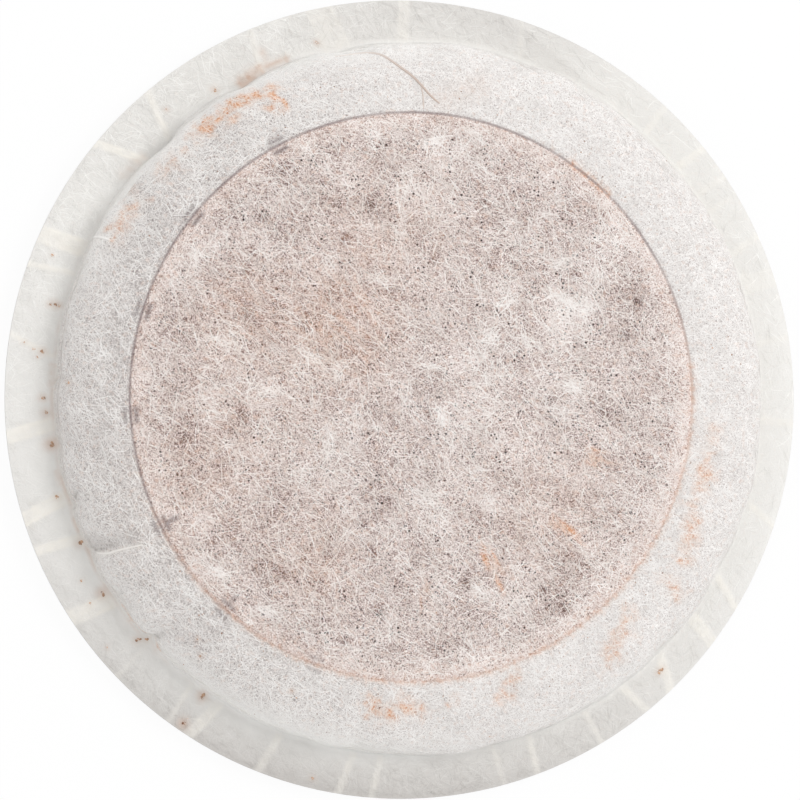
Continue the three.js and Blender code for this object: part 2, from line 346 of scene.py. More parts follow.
SPECKS = [  # angle, length, width in millimetres, and darkness
    (158.4, 36.8, 0.25, 0.2), (165.6, 35.6, 0.3, 0.6), (165.4, 35.2, 0.35, 0.7), (165.4, 34.8, 0.3, 0.6),
    (172, 37.3, 0.22, 0.3), (172.8, 36.4, 0.22, 0.2), (173, 35.6, 0.32, 0.6), (174, 36, 0.2, 0.3),
    (180.2, 35.2, 0.32, 0.7), (182.6, 35, 0.38, 0.6), (187.6, 34.8, 0.5, 1), (196, 35.3, 0.28, 0.35),
    (178, 30.5, 0.3, 0.3), (204, 34.7, 0.4, 0.6), (209.4, 36, 0.28, 0.2), (212.6, 35, 0.45, 0.8),
    (213, 36.4, 0.22, 0.3), (222, 35.1, 0.36, 0.6), (222.9, 34.6, 0.25, 0.5), (219.8, 37.5, 0.2, 0.4),
    (235.6, 34.8, 0.42, 0.9), (235.6, 37.9, 0.42, 0.9), (235.7, 37.3, 0.2, 0.4), (230.6, 29.5, 0.2, 0.8),
    (228.2, 28.4, 0.18, 0.7), (247.4, 27.7, 0.22, 0.7), (256.4, 37.6, 0.24, 0.5), (104, 35.4, 0.26, 0.7),
    (122, 35, 0.3, 0.6), (130, 36.2, 0.22, 0.6), (313.6, 35.9, 0.38, 0.6), (314.1, 35.9, 0.32, 0.6),
]
SPECK_HALO = 2.6  # width of the stain round a speck, against the speck's own
SPECK_STAIN = 0.5  # strength of that stain
SPECK_THICKNESS = 0.12  # against its width
SPECK_LUMPS = 4  # in each speck
FOOT_STAIN = 0.36
FOOT_STAIN_AT, FOOT_STAIN_SPAN = 197, 28
FOOT_STAIN_WIDTH = 0.11 * MM
FOOT_STAIN_SIZE = 3 * MM  # of its darker stretches

RIB_MARKS = [  # angle, and strength of the pad and of the rib under the paper
    (118.7, 1, 0), (141.2, 1, 0.3), (162.8, 1, 0), (184, 0.9, 0), (207, 0.9, 1), (228, 0.8, 0.5),
    (249.5, 0.5, 0.2),
]
PAD_LENGTH = 1.8 * MM
PAD_OFFSET = 0.5 * MM  # of the pad's two edges from the ring line
PAD_EDGES = 0.18 * MM, 0.2 * MM  # width of the outer and of the inner edge
PAD_LINE = 0.16 * MM  # width of the fainter line midway between them
PAD_FADE = 0.4 * MM, 0.1 * MM  # before and past a pad's end
RIB_FADE = 0.1 * MM
RIB_THICKNESS = 0.5 * MM
RIB_DEPTH = 2 * MM
RING_LINE_WIDTH = 0.18 * MM
LINE_CLEAREST, LINE_TANNEST = 105, 295  # angles at which the ring line's painted shade is clearest, and at which its painted lit crest is most tan
LINE_STRENGTH = 0.26, 0.4  # strength of the line's painted shade where it is faintest, and what is added where it is clearest
LINE_WAVE = 6 * MM  # length of its clearer stretches
RIM_FADE = 0.4 * MM  # on each side of the foot, over which the marks of the rim fade in
DIP_PAINTED_SHADE = 0.16  # strength of the painted shade on the rim where it is bent down
RIM_PAINTED_SHADE = [  # painted shade on stretches of the rim: angle, half width in degrees, and strength at the foot and at the edge
    (255, 50, 0.16, 0.62), (300, 14, 0.18, 0.06), (72, 14, 0, 0.2), (118, 22, 0.13, 0.03),
    (278, 10, 0.08, 0.04),
]
# Painted light on stretches of the rim: angle, half width in degrees, and strength at the foot and at the
# edge
RIM_PAINTED_LIGHT = [(190, 36, 0.8, 0.42), (235, 30, 0.6, 0), (355, 45, 0.2, 0.4)]
WALL_PAINTED_SHADE = [(186, 24, 0.06), (0, 36, 0.07)]  # painted shade on the side above the foot: angle, half width in degrees, and strength
# Painted light on the side above the foot: angle, half width in degrees, and strength
WALL_PAINTED_LIGHT = [(102, 24, 0.7), (145, 24, 0.7), (206, 24, 0.3), (250, 28, 0.95), (303, 12, 0.4)]
WALL_AT, WALL_REACH = -1.8 * MM, 2.4 * MM  # middle of those stretches, from the foot, and half width
# Painted light on the rim right beside the foot: angle, half width in degrees and strength; then the middle
# of that band from the foot, and its half width
FOOT_PAINTED_LIGHT = [(258, 30, 0.6)]
FOOT_LIGHT_AT, FOOT_LIGHT_REACH = 0.3 * MM, 0.7 * MM


def flat_place(angle, length):
    """Flat point of an angle in degrees and a length along the paper."""
    turn = np.radians(angle)
    return np.stack((length * np.cos(turn), length * np.sin(turn)), axis=-1)


def polar(points):
    """Angle in degrees and length along the paper of flat points."""
    return np.degrees(np.arctan2(points[..., 1], points[..., 0])), np.hypot(points[..., 0], points[..., 1])


def away_from_point(points, x, y):
    return np.hypot(points[..., 0] - x, points[..., 1] - y)


def away_from_path(points, path):
    """Distance of flat points to a path given by angles and lengths in millimetres."""
    corners = np.array([flat_place(angle, length * MM) for angle, length in path])
    nearest = np.full(points.shape[:-1], np.inf)
    for start, end in zip(corners[:-1], corners[1:]):
        run = end - start
        share = np.clip(((points - start) @ run) / (run @ run), 0, 1)
        gap = points - start - share[..., None] * run
        nearest = np.minimum(nearest, np.hypot(gap[..., 0], gap[..., 1]))
    return nearest


def patches(points, spots):
    total = np.zeros(points.shape[:-1])
    for x, y, size, strength in spots:
        total += strength * bell(away_from_point(points, x * MM, y * MM), size * MM)
    return total


def along_paths(points, paths):
    """The strongest of some soft paths at each flat point."""
    shares = [strength * bell(away_from_path(points, path), width * MM) for path, width, strength in paths]
    return np.max(shares, axis=0)


def ring_arc(start, end):
    return [(angle, RING_AT / MM) for angle in np.arange(start, end + 1, 2)]


def mottled(points, least):
    """1 in a stain's darker spots, and the least share in its lighter ones."""
    return least + (1 - least) * smooth(waves(points, MOTTLE_SIZE, seed=25), -0.9, 0.9)


def orange_share(points):
    """Cocoa oil and fine powder that has worked into the paper."""
    length = polar(points)[1]
    wander = np.stack([waves(points, STRAY_SIZE, seed) for seed in (23, 24)], axis=-1)
    shares = [along_paths(points + STRAY * wander, SMUDGES)]
    for start, end, strength in RING_STAINS:
        away = away_from_path(points, ring_arc(start, end))
        shares.append(strength * bell(away, RING_STAIN_WIDTH * MM))
    shares.append(WARM_PATCH * np.clip(patches(points, WARM_PATCHES), 0, 1))
    inside = smooth(length, RING_AT - 2 * PEACH_BAND, RING_AT - 0.3 * PEACH_BAND) * (length < RING_AT)
    return np.maximum(np.max(shares, axis=0) * mottled(points, 0.35), PEACH * inside)


def speck_share(points):
    """Stains round the specks and along the foot on the left, and tan bands that mostly hug the foot."""
    shares = []
    for angle, length, width, darkness in SPECKS:
        away = away_from_point(points, *flat_place(angle, length * MM))
        shares.append(SPECK_STAIN * darkness * bell(away, SPECK_HALO * width / 2 * MM))
    angle, length = polar(points)
    patchy = 0.35 + 0.65 * smooth(waves(points, FOOT_STAIN_SIZE, seed=27), -0.6, 0.8)
    line = bell(turned(angle, FOOT_STAIN_AT), FOOT_STAIN_SPAN) * bell(length - FOOT_AT, FOOT_STAIN_WIDTH)
    shares += [FOOT_STAIN * patchy * line, mottled(points, 0.5) * along_paths(points, TAN_BANDS)]
    return np.max(shares, axis=0)


def mark_share(points):
    """The dark edges of the ring's pads and ribs, under the paper."""
    angle, length = polar(points)
    away = length - RING_AT
    shares = []
    for at, pad, rib in RIB_MARKS:
        across = np.abs(np.radians(turned(angle, at)) * RING_RADIUS)
        on_pad = 1 - smooth(across, PAD_LENGTH / 2 - PAD_FADE[0], PAD_LENGTH / 2 + PAD_FADE[1])
        outer_edge = 0.7 * bell(away - PAD_OFFSET, PAD_EDGES[0])
        edges = np.maximum(outer_edge, bell(away + PAD_OFFSET, PAD_EDGES[1]))
        on_rib = 1 - smooth(across, RIB_THICKNESS / 2 - RIB_FADE, RIB_THICKNESS / 2 + RIB_FADE)
        inner = smooth(-away, PAD_OFFSET, PAD_OFFSET + PAD_EDGES[1])
        inner = inner * (1 - smooth(-away, 0.7 * RIB_DEPTH, RIB_DEPTH))
        shares.append(pad * on_pad * np.maximum(edges, 0.5 * bell(away, PAD_LINE)))
        shares.append(0.8 * rib * on_rib * inner)
    return np.max(shares, axis=0)


def ring_line_shade_share(points):
    """How dark the ring line's painted shade is: most at the top and on the left, least at the bottom."""
    angle, _ = polar(points)
    uneven = 0.85 + 0.15 * np.clip(waves(points, LINE_WAVE, seed=26), -1, 1)
    clearest = smooth(facing(angle, LINE_CLEAREST), -0.85, 0.3)
    return uneven * (LINE_STRENGTH[0] + LINE_STRENGTH[1] * clearest)


def tan_lit_crest_share(points):
    """How tan the ring line is, as a painted lit crest of the bend: most at the lower right."""
    return smooth(facing(polar(points)[0], LINE_TANNEST), -0.1, 0.6)


def chance_clouds(points, strengths, seed):
    clouds = zip(strengths, CLOUD_SIZES)
    return sum(strength * waves(points, size, seed + k) for k, (strength, size) in enumerate(clouds))


def cloud_share(points):
    """Paler and browner areas of the paper: above 0 where it is thick, below where it is thin."""
    patch = patches(points, PALE_PATCHES) - patches(points, BROWN_PATCHES)
    angle, length = polar(points)
    near_ring = smooth(length, RING_AT - RING_CLOUD[0], RING_AT - RING_CLOUD[1]) * (length < RING_AT)
    patch = patch + near_ring * (0.45 + 0.5 * facing(angle, RING_CLOUD_AT))
    return PATCH_CLOUD * patch + chance_clouds(points, CLOUDS, seed=21)


def dust_share(points):
    """How many dark pores show: most over the powder, fewer towards the foot, and more on the left."""
    angle, length = polar(points)
    band = smooth(length, RING_AT - 2.2 * PEACH_BAND, RING_AT - 0.3 * PEACH_BAND)
    beyond = smooth(length, RING_AT + 0.5 * MM, FOOT_AT)
    left = smooth(facing(angle, DUST_LEFT), -0.2, 0.95)
    fewer = (DUST_FADE[0] - DUST_FADE[1] * left) * beyond
    bare = (DUST_BARE[0] + DUST_BARE[1] * left) * (1 - fewer)
    return np.where(length < RING_AT, 1 - DUST_BAND * band, bare)


def on_rim(length):
    return smooth(length, FOOT_AT - RIM_FADE, FOOT_AT + RIM_FADE)


def rim_arcs(points, arcs):
    """Soft stretches of the rim, each with its strength at the foot and at the edge."""
    angle, length = polar(points)
    out = rim_share(length)
    total = np.zeros(angle.shape)
    for at, width, inner, outer in arcs:
        total += (inner + (outer - inner) * out) * bell(turned(angle, at), width)
    return total * on_rim(length)


def foot_arcs(points, arcs, middle, reach):
    """Soft stretches beside the foot, round a middle that is measured from it."""
    angle, length = polar(points)
    total = sum(strength * bell(turned(angle, at), width) for at, width, strength in arcs)
    return total * bell(length - FOOT_AT - middle, reach)


def painted_shade_share(points):
    """Painted shade on parts of the rim and side, in hollows and creases, and on the rim where it is bent
    down along a slanting line.
    """
    angle, length = polar(points)
    bent = dip_share(angle, rim_share(length)) * on_rim(length)
    hollows = along_paths(points, PAINTED_HOLLOW_SHADOWS)
    wall = foot_arcs(points, WALL_PAINTED_SHADE, WALL_AT, WALL_REACH)
    return rim_arcs(points, RIM_PAINTED_SHADE) + wall + DIP_PAINTED_SHADE * bent + hollows


def painted_light_share(points):
    """Painted light on parts of the rim, of the side and right beside the foot."""
    wall = foot_arcs(points, WALL_PAINTED_LIGHT, WALL_AT, WALL_REACH)
    foot = foot_arcs(points, FOOT_PAINTED_LIGHT, FOOT_LIGHT_AT, FOOT_LIGHT_REACH)
    return rim_arcs(points, RIM_PAINTED_LIGHT) + wall + foot


def rim_share(length):
    """How far out a place lies on the rim, from 0 at the foot to 1 at the edge."""
    return np.clip((length - FOOT_AT) / (EDGE_AT - FOOT_AT), 0, 1)


def dip_share(angle, out):
    """1 on the stretch of the rim that is bent down."""
    start = RIM_DIP_FROM + RIM_DIP_SLANT * out
    ahead = smooth(turned(angle, start), *RIM_DIP_STEPS[0])
    past = smooth(turned(angle, RIM_DIP_TO), *RIM_DIP_STEPS[1])
    return ahead * (1 - past) * (facing(angle, RIM_DIP_MIDDLE) > 0)


# Pleats, pinch and sway


def pinch(angle):
    """Radial shift of the side: pinched in at a pleat, puffed out midway between two."""
    places = np.sort([pleat[0] for pleat in PLEATS])
    passed = np.searchsorted(places, angle % 360, side="right")
    before = places[passed - 1]
    span = (places[passed % len(places)] - before) % 360
    puff = np.sin(np.pi * ((angle - before) % 360) / span) ** 2
    shift = -PUCKER_DEPTH * (1 - puff * np.minimum(1, span / PUFF_SPAN))
    for at, width, depth in PINCHES:
        shift = shift - depth * MM * bell(turned(angle, at), width)
    return shift


def cream_share(points):
    """How much of a pressed fold lies at a place on the rim."""
    angle, length = polar(points)
    out = rim_share(length)
    radius = FOOT_RADIUS + out * SEAL_WIDTH
    total = np.zeros(angle.shape)
    for foot, edge, width, strength in PLEATS:
        middle = foot + (edge - foot) * out
        across = np.abs(np.radians(turned(angle, middle)) * radius)
        low = (width * MM - PLEAT_EDGE) / 2
        flat_top = 1 - smooth(across, low, low + PLEAT_EDGE)
        lines = bell(across - low, PLEAT_LINE)
        total = np.maximum(total, strength * np.maximum(PLEAT_TOP * flat_top, lines))
    uneven = 0.85 + 0.2 * np.clip(waves(points, PLEAT_WAVE, seed=28), -1, 1)
    return total * uneven * smooth(length, FOOT_AT - PAPER, FOOT_AT + PAPER)


def fold_cream_and_ridge_highlight(points):
    """Folds of the rim in their own creamy colour, and a painted highlight along a ridge up the side."""
    return np.maximum(cream_share(points), along_paths(points, RIDGE_HIGHLIGHTS))


def rim_sway(angle, radius):
    """How far the rim is bent out of its plane, which both sheets follow."""
    out = np.clip((radius - FOOT_RADIUS) / SEAL_WIDTH, 0, 1)
    wave = sum(share * np.sin(np.radians(number * angle + start)) for share, number, start in RIM_WAVES)
    droop = bell(turned(angle, RIM_DROOP_AT), RIM_DROOP_SPAN)
    return out * (RIM_WAVE * wave - RIM_DIP * dip_share(angle, out) - RIM_DROOP * droop)


def right_share(angle):
    """1 on the right, where the side runs out into the rim."""
    return smooth(facing(angle, FLARE_MIDDLE), -0.1, 0.7)


def side_shift(angle, shifted, flared):
    """Radial shift of rows of the upper sheet's side."""
    spread = FLARE * (LEFT_FLARE + (1 - LEFT_FLARE) * right_share(angle))
    return shifted * (pinch(angle) + BODY_OFFSET * facing(angle, 0)) + flared * spread


# Sheets


def relief(angle, length, flat):
    """Height of the upper sheet's own lumps, bends and creases, along its normal."""
    calm = 1 - RING_CALM * bell(length - RING_AT, RING_CALM_WIDTH)
    free = 1 - smooth(length, FOOT_AT - LUMPS_FADE[0], FOOT_AT - LUMPS_FADE[1])
    lumps = sum(height * waves(flat, size, seed=31) for size, height in LUMP_SIZES.items())
    height = lumps * calm * free
    height = height - GROOVE_DEPTH * bell(length - RING_AT, GROOVE_WIDTH)
    for foot, upper, reach, depth in WALL_CREASES:
        up = np.clip((FOOT_AT - length) / (reach * MM), 0, 1)
        across = np.radians(turned(angle, foot + (upper - foot) * up)) * FOOT_RADIUS
        strength = depth * MM * (1 - smooth(up, WALL_CREASE_FADE, 1)) * (length < FOOT_AT)
        height = height - strength * bell(across, WALL_CREASE_WIDTH)
    return height


def points_round(angle, radius, height):
    turn = np.radians(angle)
    return np.stack((radius * np.cos(turn), radius * np.sin(turn), height + 0 * turn), axis=-1)


def column_angles():
    return np.arange(COLUMNS)[None, :] * 360 / COLUMNS


def top_grid():
    """Points of the upper sheet's outside and inside, and the flat places of the outside."""
    angle = column_angles()
    radius, height, shifted, flared = (row[:, None] for row in top_outside())
    length = TOP_LENGTHS[:, None]
    flat = flat_place(angle + 0 * length, length + 0 * angle)
    run = np.gradient(np.stack((radius[:, 0], height[:, 0])), axis=1)
    normal = np.stack((-run[1], run[0])) / np.linalg.norm(run, axis=0)
    lift = relief(angle, length, flat) * (length < FOOT_AT)
    outer_radius = radius + side_shift(angle, shifted, flared) + normal[0][:, None] * lift
    raised = PLEAT_HEIGHT * cream_share(flat) + rim_sway(angle, radius)
    outer_height = height + normal[1][:, None] * lift + raised
    outside = points_round(angle, outer_radius, outer_height)
    radius, height, shifted, flared = (row[:, None] for row in top_inside())
    inner_radius = radius + side_shift(angle, shifted, flared)
    inside = points_round(angle, inner_radius, height + rim_sway(angle, radius))
    return outside, inside, flat


def bottom_grid():
    """Points of the lower sheet's underside and upper side, and the flat places of the underside."""
    angle = column_angles()
    radius, height = (row[:, None] for row in bottom_outside())
    length = lengths_along(*bottom_outside())[:, None]
    flat = flat_place(angle + 0 * length, length + 0 * angle)
    slope = bell(radius - DISH_RADIUS + BASE_SLOPE / 2, BASE_SLOPE / 2)
    wrinkle_height, wrinkle_length = BASE_WRINKLES
    wrinkle = wrinkle_height * slope * waves(flat, wrinkle_length, seed=41)
    level = np.maximum(height + wrinkle, STRAND_LIFT) + rim_sway(angle, radius)
    upper = np.array([RIM_RADIUS, DISH_RADIUS, DISH_RADIUS - BASE_SLOPE, INNERMOST])[:, None]
    upper_level = np.array([SEAL_Z, SEAL_Z, PAPER, PAPER])[:, None] + rim_sway(angle, upper)
    return points_round(angle, radius, level), points_round(angle, upper, upper_level), flat


def closed_faces(rows):
    """Faces of a closed body of rows of columns, with a middle point at each end."""
    column = np.arange(COLUMNS)
    beyond = (column + 1) % COLUMNS
    near = np.arange(rows - 1)[:, None] * COLUMNS
    far = near + COLUMNS
    quads = np.stack((near + column, far + column, far + beyond, near + beyond), axis=-1)
    end = (rows - 1) * COLUMNS
    first = np.stack((np.full(COLUMNS, rows * COLUMNS), column, beyond), axis=-1)
    last = np.stack((end + column, np.full(COLUMNS, rows * COLUMNS + 1), end + beyond), axis=-1)
    return [quads.reshape(-1, 4), first, last]


BAKE_MAP = "OFBake"  # a flat layout in which each face has its own room
OUTSIDE_SHARE = 0.49  # radius of the outside's disc on the unit square
INSIDE_SHARE = 0.075  # radius of the inside's disc, in the corner
LIP_SHARE = 1.01  # radius of the cut edge's band, against the outside's


def closed_map(outside_flat, inside):
    """Places on the unit square of the corners of closed_faces."""
    outer = 0.5 + OUTSIDE_SHARE * outside_flat / EDGE_AT
    inner = (1 + inside[..., :2] / RIM_RADIUS) * INSIDE_SHARE
    rows = np.concatenate((outer, inner))
    near, far = rows[:-1], rows[1:].copy()
    far[len(outer) - 1] = 0.5 + LIP_SHARE * (outer[-1] - 0.5)
    quads = np.stack((near, far, np.roll(far, -1, axis=1), np.roll(near, -1, axis=1)), axis=2)
    first = np.stack((np.full_like(outer[0], 0.5), outer[0], np.roll(outer[0], -1, axis=0)), axis=1)
    middle = np.full_like(inner[-1], INSIDE_SHARE)
    last = np.stack((inner[-1], middle, np.roll(inner[-1], -1, axis=0)), axis=1)
    return [quads.reshape(-1, 4, 2), first, last]


def new_piece(name, points, faces, corners, material):
    """A piece from arrays of faces, with the corners' places on the bake map in the same order."""
    mesh = bpy.data.meshes.new(name)
    mesh.from_pydata(points.tolist(), [], [face for group in faces for face in group.tolist()])
    mesh.materials.append(material)
    layer = mesh.uv_layers.new(name=BAKE_MAP)
    places = np.concatenate([group.reshape(-1, 2) for group in corners])
    layer.data.foreach_set("uv", places.astype(np.float32).ravel())
    return placed(name, mesh)


def placed(name, mesh):
    piece = bpy.data.objects.new(name, mesh)
    bpy.context.scene.collection.objects.link(piece)
    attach(piece, "root")
    return piece


TINTS = {
    "orange": orange_share, "speck": speck_share, "mark": mark_share, "cloud": cloud_share,
    "cream_and_highlight": fold_cream_and_ridge_highlight, "dust": dust_share, "painted_shade": painted_shade_share, "painted_light": painted_light_share, "line": ring_line_shade_share,
    "tan": tan_lit_crest_share,
}
POWDER_EDGE = -0.12 * MM, 0.08 * MM  # from the ring line, where the brown of the powder ends
BASE_POWDER_EDGE = -0.5 * MM, 0.5 * MM
BASE_DUST = 0.3  # share of the pores that show on the base beyond the powder
RIM_TINT_START = 0.8 * MM, 4.2 * MM  # above the foot on the left, and how much higher on the right
RIM_TINT_END = 0.2 * MM  # beyond the foot


def paint(piece, name, values):
    layer = piece.data.attributes.new(name, "FLOAT", "POINT")
    layer.data.foreach_set("value", np.asarray(values, np.float32).ravel())


def paint_flat(piece, flat):
    """Flat place of each point in millimetres, which the paper's patterns follow."""
    layer = piece.data.attributes.new("flat", "FLOAT_VECTOR", "POINT")
    spread = np.zeros((len(flat), 3), np.float32)
    spread[:, :2] = flat / MM
    layer.data.foreach_set("vector", spread.ravel())


def paint_top(piece, flat):
    angle, length = polar(flat)
    paint(piece, "powder", 1 - smooth(length - RING_AT, *POWDER_EDGE))
    start = FOOT_AT - RIM_TINT_START[0] - RIM_TINT_START[1] * right_share(angle)
    paint(piece, "rim", smooth(length, start, FOOT_AT + RIM_TINT_END))
    for name, share in TINTS.items():
        paint(piece, name, share(flat))


def paint_bottom(piece, flat):
    length = polar(flat)[1]
    powder = 1 - smooth(length - RING_AT, *BASE_POWDER_EDGE)
    paint(piece, "powder", powder)
    paint(piece, "dust", BASE_DUST + (1 - BASE_DUST) * powder)
    paint(piece, "rim", smooth(length, DISH_RADIUS, DISH_RADIUS + MM))
    paint(piece, "cloud", chance_clouds(flat, BASE_CLOUDS, seed=42))


def sheet_piece(name, grid, material, upside_down):
    outside, inside, flat = grid
    rows = np.concatenate((outside, inside))
    middles = np.array([[0, 0, outside[0, :, 2].mean()], [0, 0, inside[-1, :, 2].mean()]])
    points = np.concatenate((rows.reshape(-1, 3), middles))
    faces, corners = closed_faces(len(rows)), closed_map(flat, inside)
    if upside_down:
        faces = [group[:, ::-1] for group in faces]
        corners = [group[:, ::-1] for group in corners]
    piece = new_piece(name, points, faces, corners, material)
    places = np.zeros((len(points), 2))
    places[: flat.shape[0] * COLUMNS] = flat.reshape(-1, 2)
    places[flat.shape[0] * COLUMNS : -2] = inside.reshape(-1, 3)[:, :2]
    paint_flat(piece, places)
    piece.data.shade_smooth()
    return piece, places


# Fibres and folds

STRAND_STEPS = 4
STRAND_SIDES = 3
STRAND_WIDTH = 0.041 * MM
STRAND_LENGTH = 1.8 * MM
STRAND_LENGTH_SPREAD = 0.35
STRAND_WIDENING = 0.7, 0.6  # of the dullest strand, and what is added up to the clearest
STRAND_TONES = 1.2  # above 1 there are more dull strands than clear ones
STRAND_BEND = 0.32
STRAND_LIFT = 0.04 * MM  # of the topmost strands
LEAST_LIFT = 0.1  # of the lowest strands, against that
STRAND_SINK = STRAND_WIDTH / 4  # of their ends into the paper
STRANDS_IN_LINE = 0.45  # share of the strands that lie along the heading, within the spread
STRAND_HEADING = math.radians(-42)
STRAND_SPREAD = math.radians(28)
CROWN_STRANDS, SIDE_STRANDS, RIM_STRANDS, BASE_STRANDS = 14600, 14500, 8000, 7000
LINE_MARGIN = 1.5 * RING_LINE_WIDTH  # kept clear of strands on each side of the ring line
FOOT_MARGIN = 1 * MM  # kept clear above the foot, and inside it on the base
RIM_MARGINS = 0.3 * MM, 0.15 * MM  # beside the foot and beside the cut edge
THINNING = 0.1, 0.7  # share of strands left out at the foot on the left, and what the right adds
THINNING_FROM = 3 * MM  # beyond the ring line
WISP_STRANDS = 20  # in a whiter patch, for each millimetre of its size
VEILS = [  # ends in millimetres of short bundles of white fibres
    (13.5, 8.2, 15.7, 7.8), (16.1, 11.3, 16.2, 7.3), (6.3, 4.9, 7.2, 5.6), (9.4, 5.3, 10.7, 4.4),
    (13.7, 1, 14.2, 0.9), (-9.6, 3.6, -7.9, 2.8), (-7.1, 3, -6.5, 1.6), (0.1, 2.9, 2.3, 2.5),
    (-19.1, 13.1, -19, 10.6), (-18, 5, -15.5, 4.3), (-13.7, 0.4, -11.6, 0.3), (-7.6, -3.3, -7.6, -6),
    (0.6, -8.5, 2, -8.9), (2.1, -1.2, 2.3, -2.2), (5.1, -16.6, 6.5, -17.4), (-13.2, -18.4, -11.9, -19),
    (12.2, 11.4, 13.5, 11.9), (7.4, 8.1, 9.1, 8.6), (-1, 19.8, -1, 13.6), (-3.9, 10.4, -2.3, 9.9),
    (-18.4, -14.9, -15.9, -15.7), (1.2, 22, 2.4, 22.4), (4.8, 23.3, 6, 22.3), (11.5, 9.8, 13.5, 8.2),
]
VEIL_STRANDS = 34
VEIL_WIDTH = 0.5 * MM
VEIL_SPREAD = 0.6  # radians, of the strands round the veil's own heading
VEIL_TONE = 0.3  # of its dullest strands
MARK_CLEARANCE = 1.1 * MM  # within which most strands are left out, round a mark of the ring
MARK_STRANDS = 0.08  # share of them that stays

FOLDS = [  # path up the side, width and height in millimetres, and how brown it is
    ([(102.6, 31), (99, 31.1), (95.6, 30.4), (93, 29.2), (90.6, 28.3), (88.6, 27.3), (86.4, 26.1),
      (84.8, 25.6)], 0.24, 0.1, 0.55),
    ([(88.6, 27.3), (88.1, 26.3), (88, 25)], 0.16, 0.05, 0.4),
    ([(206.2, 33), (206.6, 31.6), (207.3, 30.4), (207.5, 29.4), (208, 28.3), (208.6, 27)],
     0.26, 0.05, 0.05),
    ([(153.6, 32.6), (153.2, 31.2), (153, 30)], 0.24, 0.1, 0),
    ([(356.8, 32.6), (356.4, 30.8), (355.8, 29.8)], 0.2, 0.06, 0),
]
FOLD_SIDES = 6
FOLD_TONE = 0.3
FOLD_FADE = 0.04  # share of a fold's arch that is left out at each end
CELL_MARGIN = 0.05  # of each strand's room on the bake map


class Surface:
    """A grid of points on a sheet, read at flat places."""

    def __init__(self, points, flat, outwards=1):
        self.points = points
        self.lengths = polar(flat[:, 0])[1]
        down = np.gradient(points, axis=0)
        across = np.roll(points, -1, axis=1) - np.roll(points, 1, axis=1)
        normal = outwards * np.cross(down, across)
        self.normals = normal / np.linalg.norm(normal, axis=-1, keepdims=True)

    def at(self, places):
        angle, length = polar(places)
        row = np.interp(length, self.lengths, np.arange(len(self.lengths)))
        column = (angle % 360) / 360 * COLUMNS
        return self.blend(self.points, row, column), self.blend(self.normals, row, column)

    def blend(self, grid, row, column):
        top = np.minimum(np.asarray(row).astype(int), len(grid) - 2)
        left = np.asarray(column).astype(int) % COLUMNS
        right = (left + 1) % COLUMNS
        down = np.asarray(row - top)[..., None]
        over = np.asarray(column - np.floor(column))[..., None]
        upper = grid[top, left] * (1 - over) + grid[top, right] * over
        lower = grid[top + 1, left] * (1 - over) + grid[top + 1, right] * over
        return upper * (1 - down) + lower * down


def over_points(values, sides):
    """Values along rows of places, repeated for the points of a spindle: its two ends, then its rings."""
    rings = np.repeat(values[:, 1:-1], sides, axis=1)
    return np.concatenate((values[:, [0, -1]], rings), axis=1).reshape(-1, *values.shape[2:])


def spindle_points(surface, places, radius, lift, sides, flatness=1):
    """Points of spindles that lie on a surface along rows of flat places, pointed at both ends."""
    centre, normal = surface.at(places)
    ahead = np.gradient(centre, axis=1)
    aside = np.cross(normal, ahead)
    aside /= np.linalg.norm(aside, axis=-1, keepdims=True)
    centre = centre + normal * lift[..., None]
    turn = np.arange(sides) * 2 * np.pi / sides - np.pi / 2
    across = np.cos(turn)[:, None] * aside[..., None, :]
    upright = flatness * np.sin(turn)[:, None] * normal[..., None, :]
    rings = centre[..., None, :] + radius[..., None, None] * (across + upright)
    rings = rings[:, 1:-1].reshape(len(centre), -1, 3)
    return np.concatenate((centre[:, [0, -1]], rings), axis=1).reshape(-1, 3)


def spindle_faces(count, steps, sides):
    base = np.arange(count)[:, None] * (2 + (steps - 2) * sides)
    first = base + 2
    last = first + (steps - 3) * sides
    side = np.arange(sides)
    beside = (side + 1) % sides
    here = first[..., None] + np.arange(steps - 3)[:, None] * sides
    walls = np.stack((here + side, here + beside, here + sides + beside, here + sides + side), axis=-1)
    start = np.stack(np.broadcast_arrays(base, first + beside, first + side), axis=-1)
    end = np.stack(np.broadcast_arrays(base + 1, last + side, last + beside), axis=-1)
    return [walls.reshape(-1, 4), start.reshape(-1, 3), end.reshape(-1, 3)]


def spindle_map(count, steps, sides):
    """Places on the unit square of the corners of spindle_faces, with one cell for each spindle."""
    grid = math.ceil(math.sqrt(count))
    cell = np.stack((np.arange(count) % grid, np.arange(count) // grid), axis=-1)
    side = np.arange(sides)[:, None]
    step = np.arange(1, steps - 2)[:, None, None]
    walls = side + [0, 1, 1, 0], step + [0, 0, 1, 1]
    start = side + [0.5, 1, 0], np.array([0, 1, 1])
    end = side + [0.5, 0, 1], steps - 2 + np.array([1, 0, 0])
    groups = []
    for across, along in (walls, start, end):
        across, along = np.broadcast_arrays(across / sides, along / (steps - 1))
        corners = np.stack((across, along), axis=-1).reshape(-1, across.shape[-1], 2)
        corners = CELL_MARGIN + (1 - 2 * CELL_MARGIN) * corners
        groups.append(((cell[:, None, None] + corners) / grid).reshape(-1, across.shape[-1], 2))
    return groups


def scattered(rng, count, inner, outer):
    """Flat points spread evenly between two lengths along the paper."""
    length = np.sqrt(rng.uniform(inner**2, outer**2, count))
    return flat_place(rng.uniform(0, 360, count), length)


def wisps(rng):
    """Flat points close together in the whiter patches of the crown."""
    groups = []
    for x, y, size, strength in PALE_PATCHES:
        count = int(WISP_STRANDS * size * strength)
        groups.append(rng.normal((x * MM, y * MM), size * MM / 2, (count, 2)))
    return np.concatenate(groups)


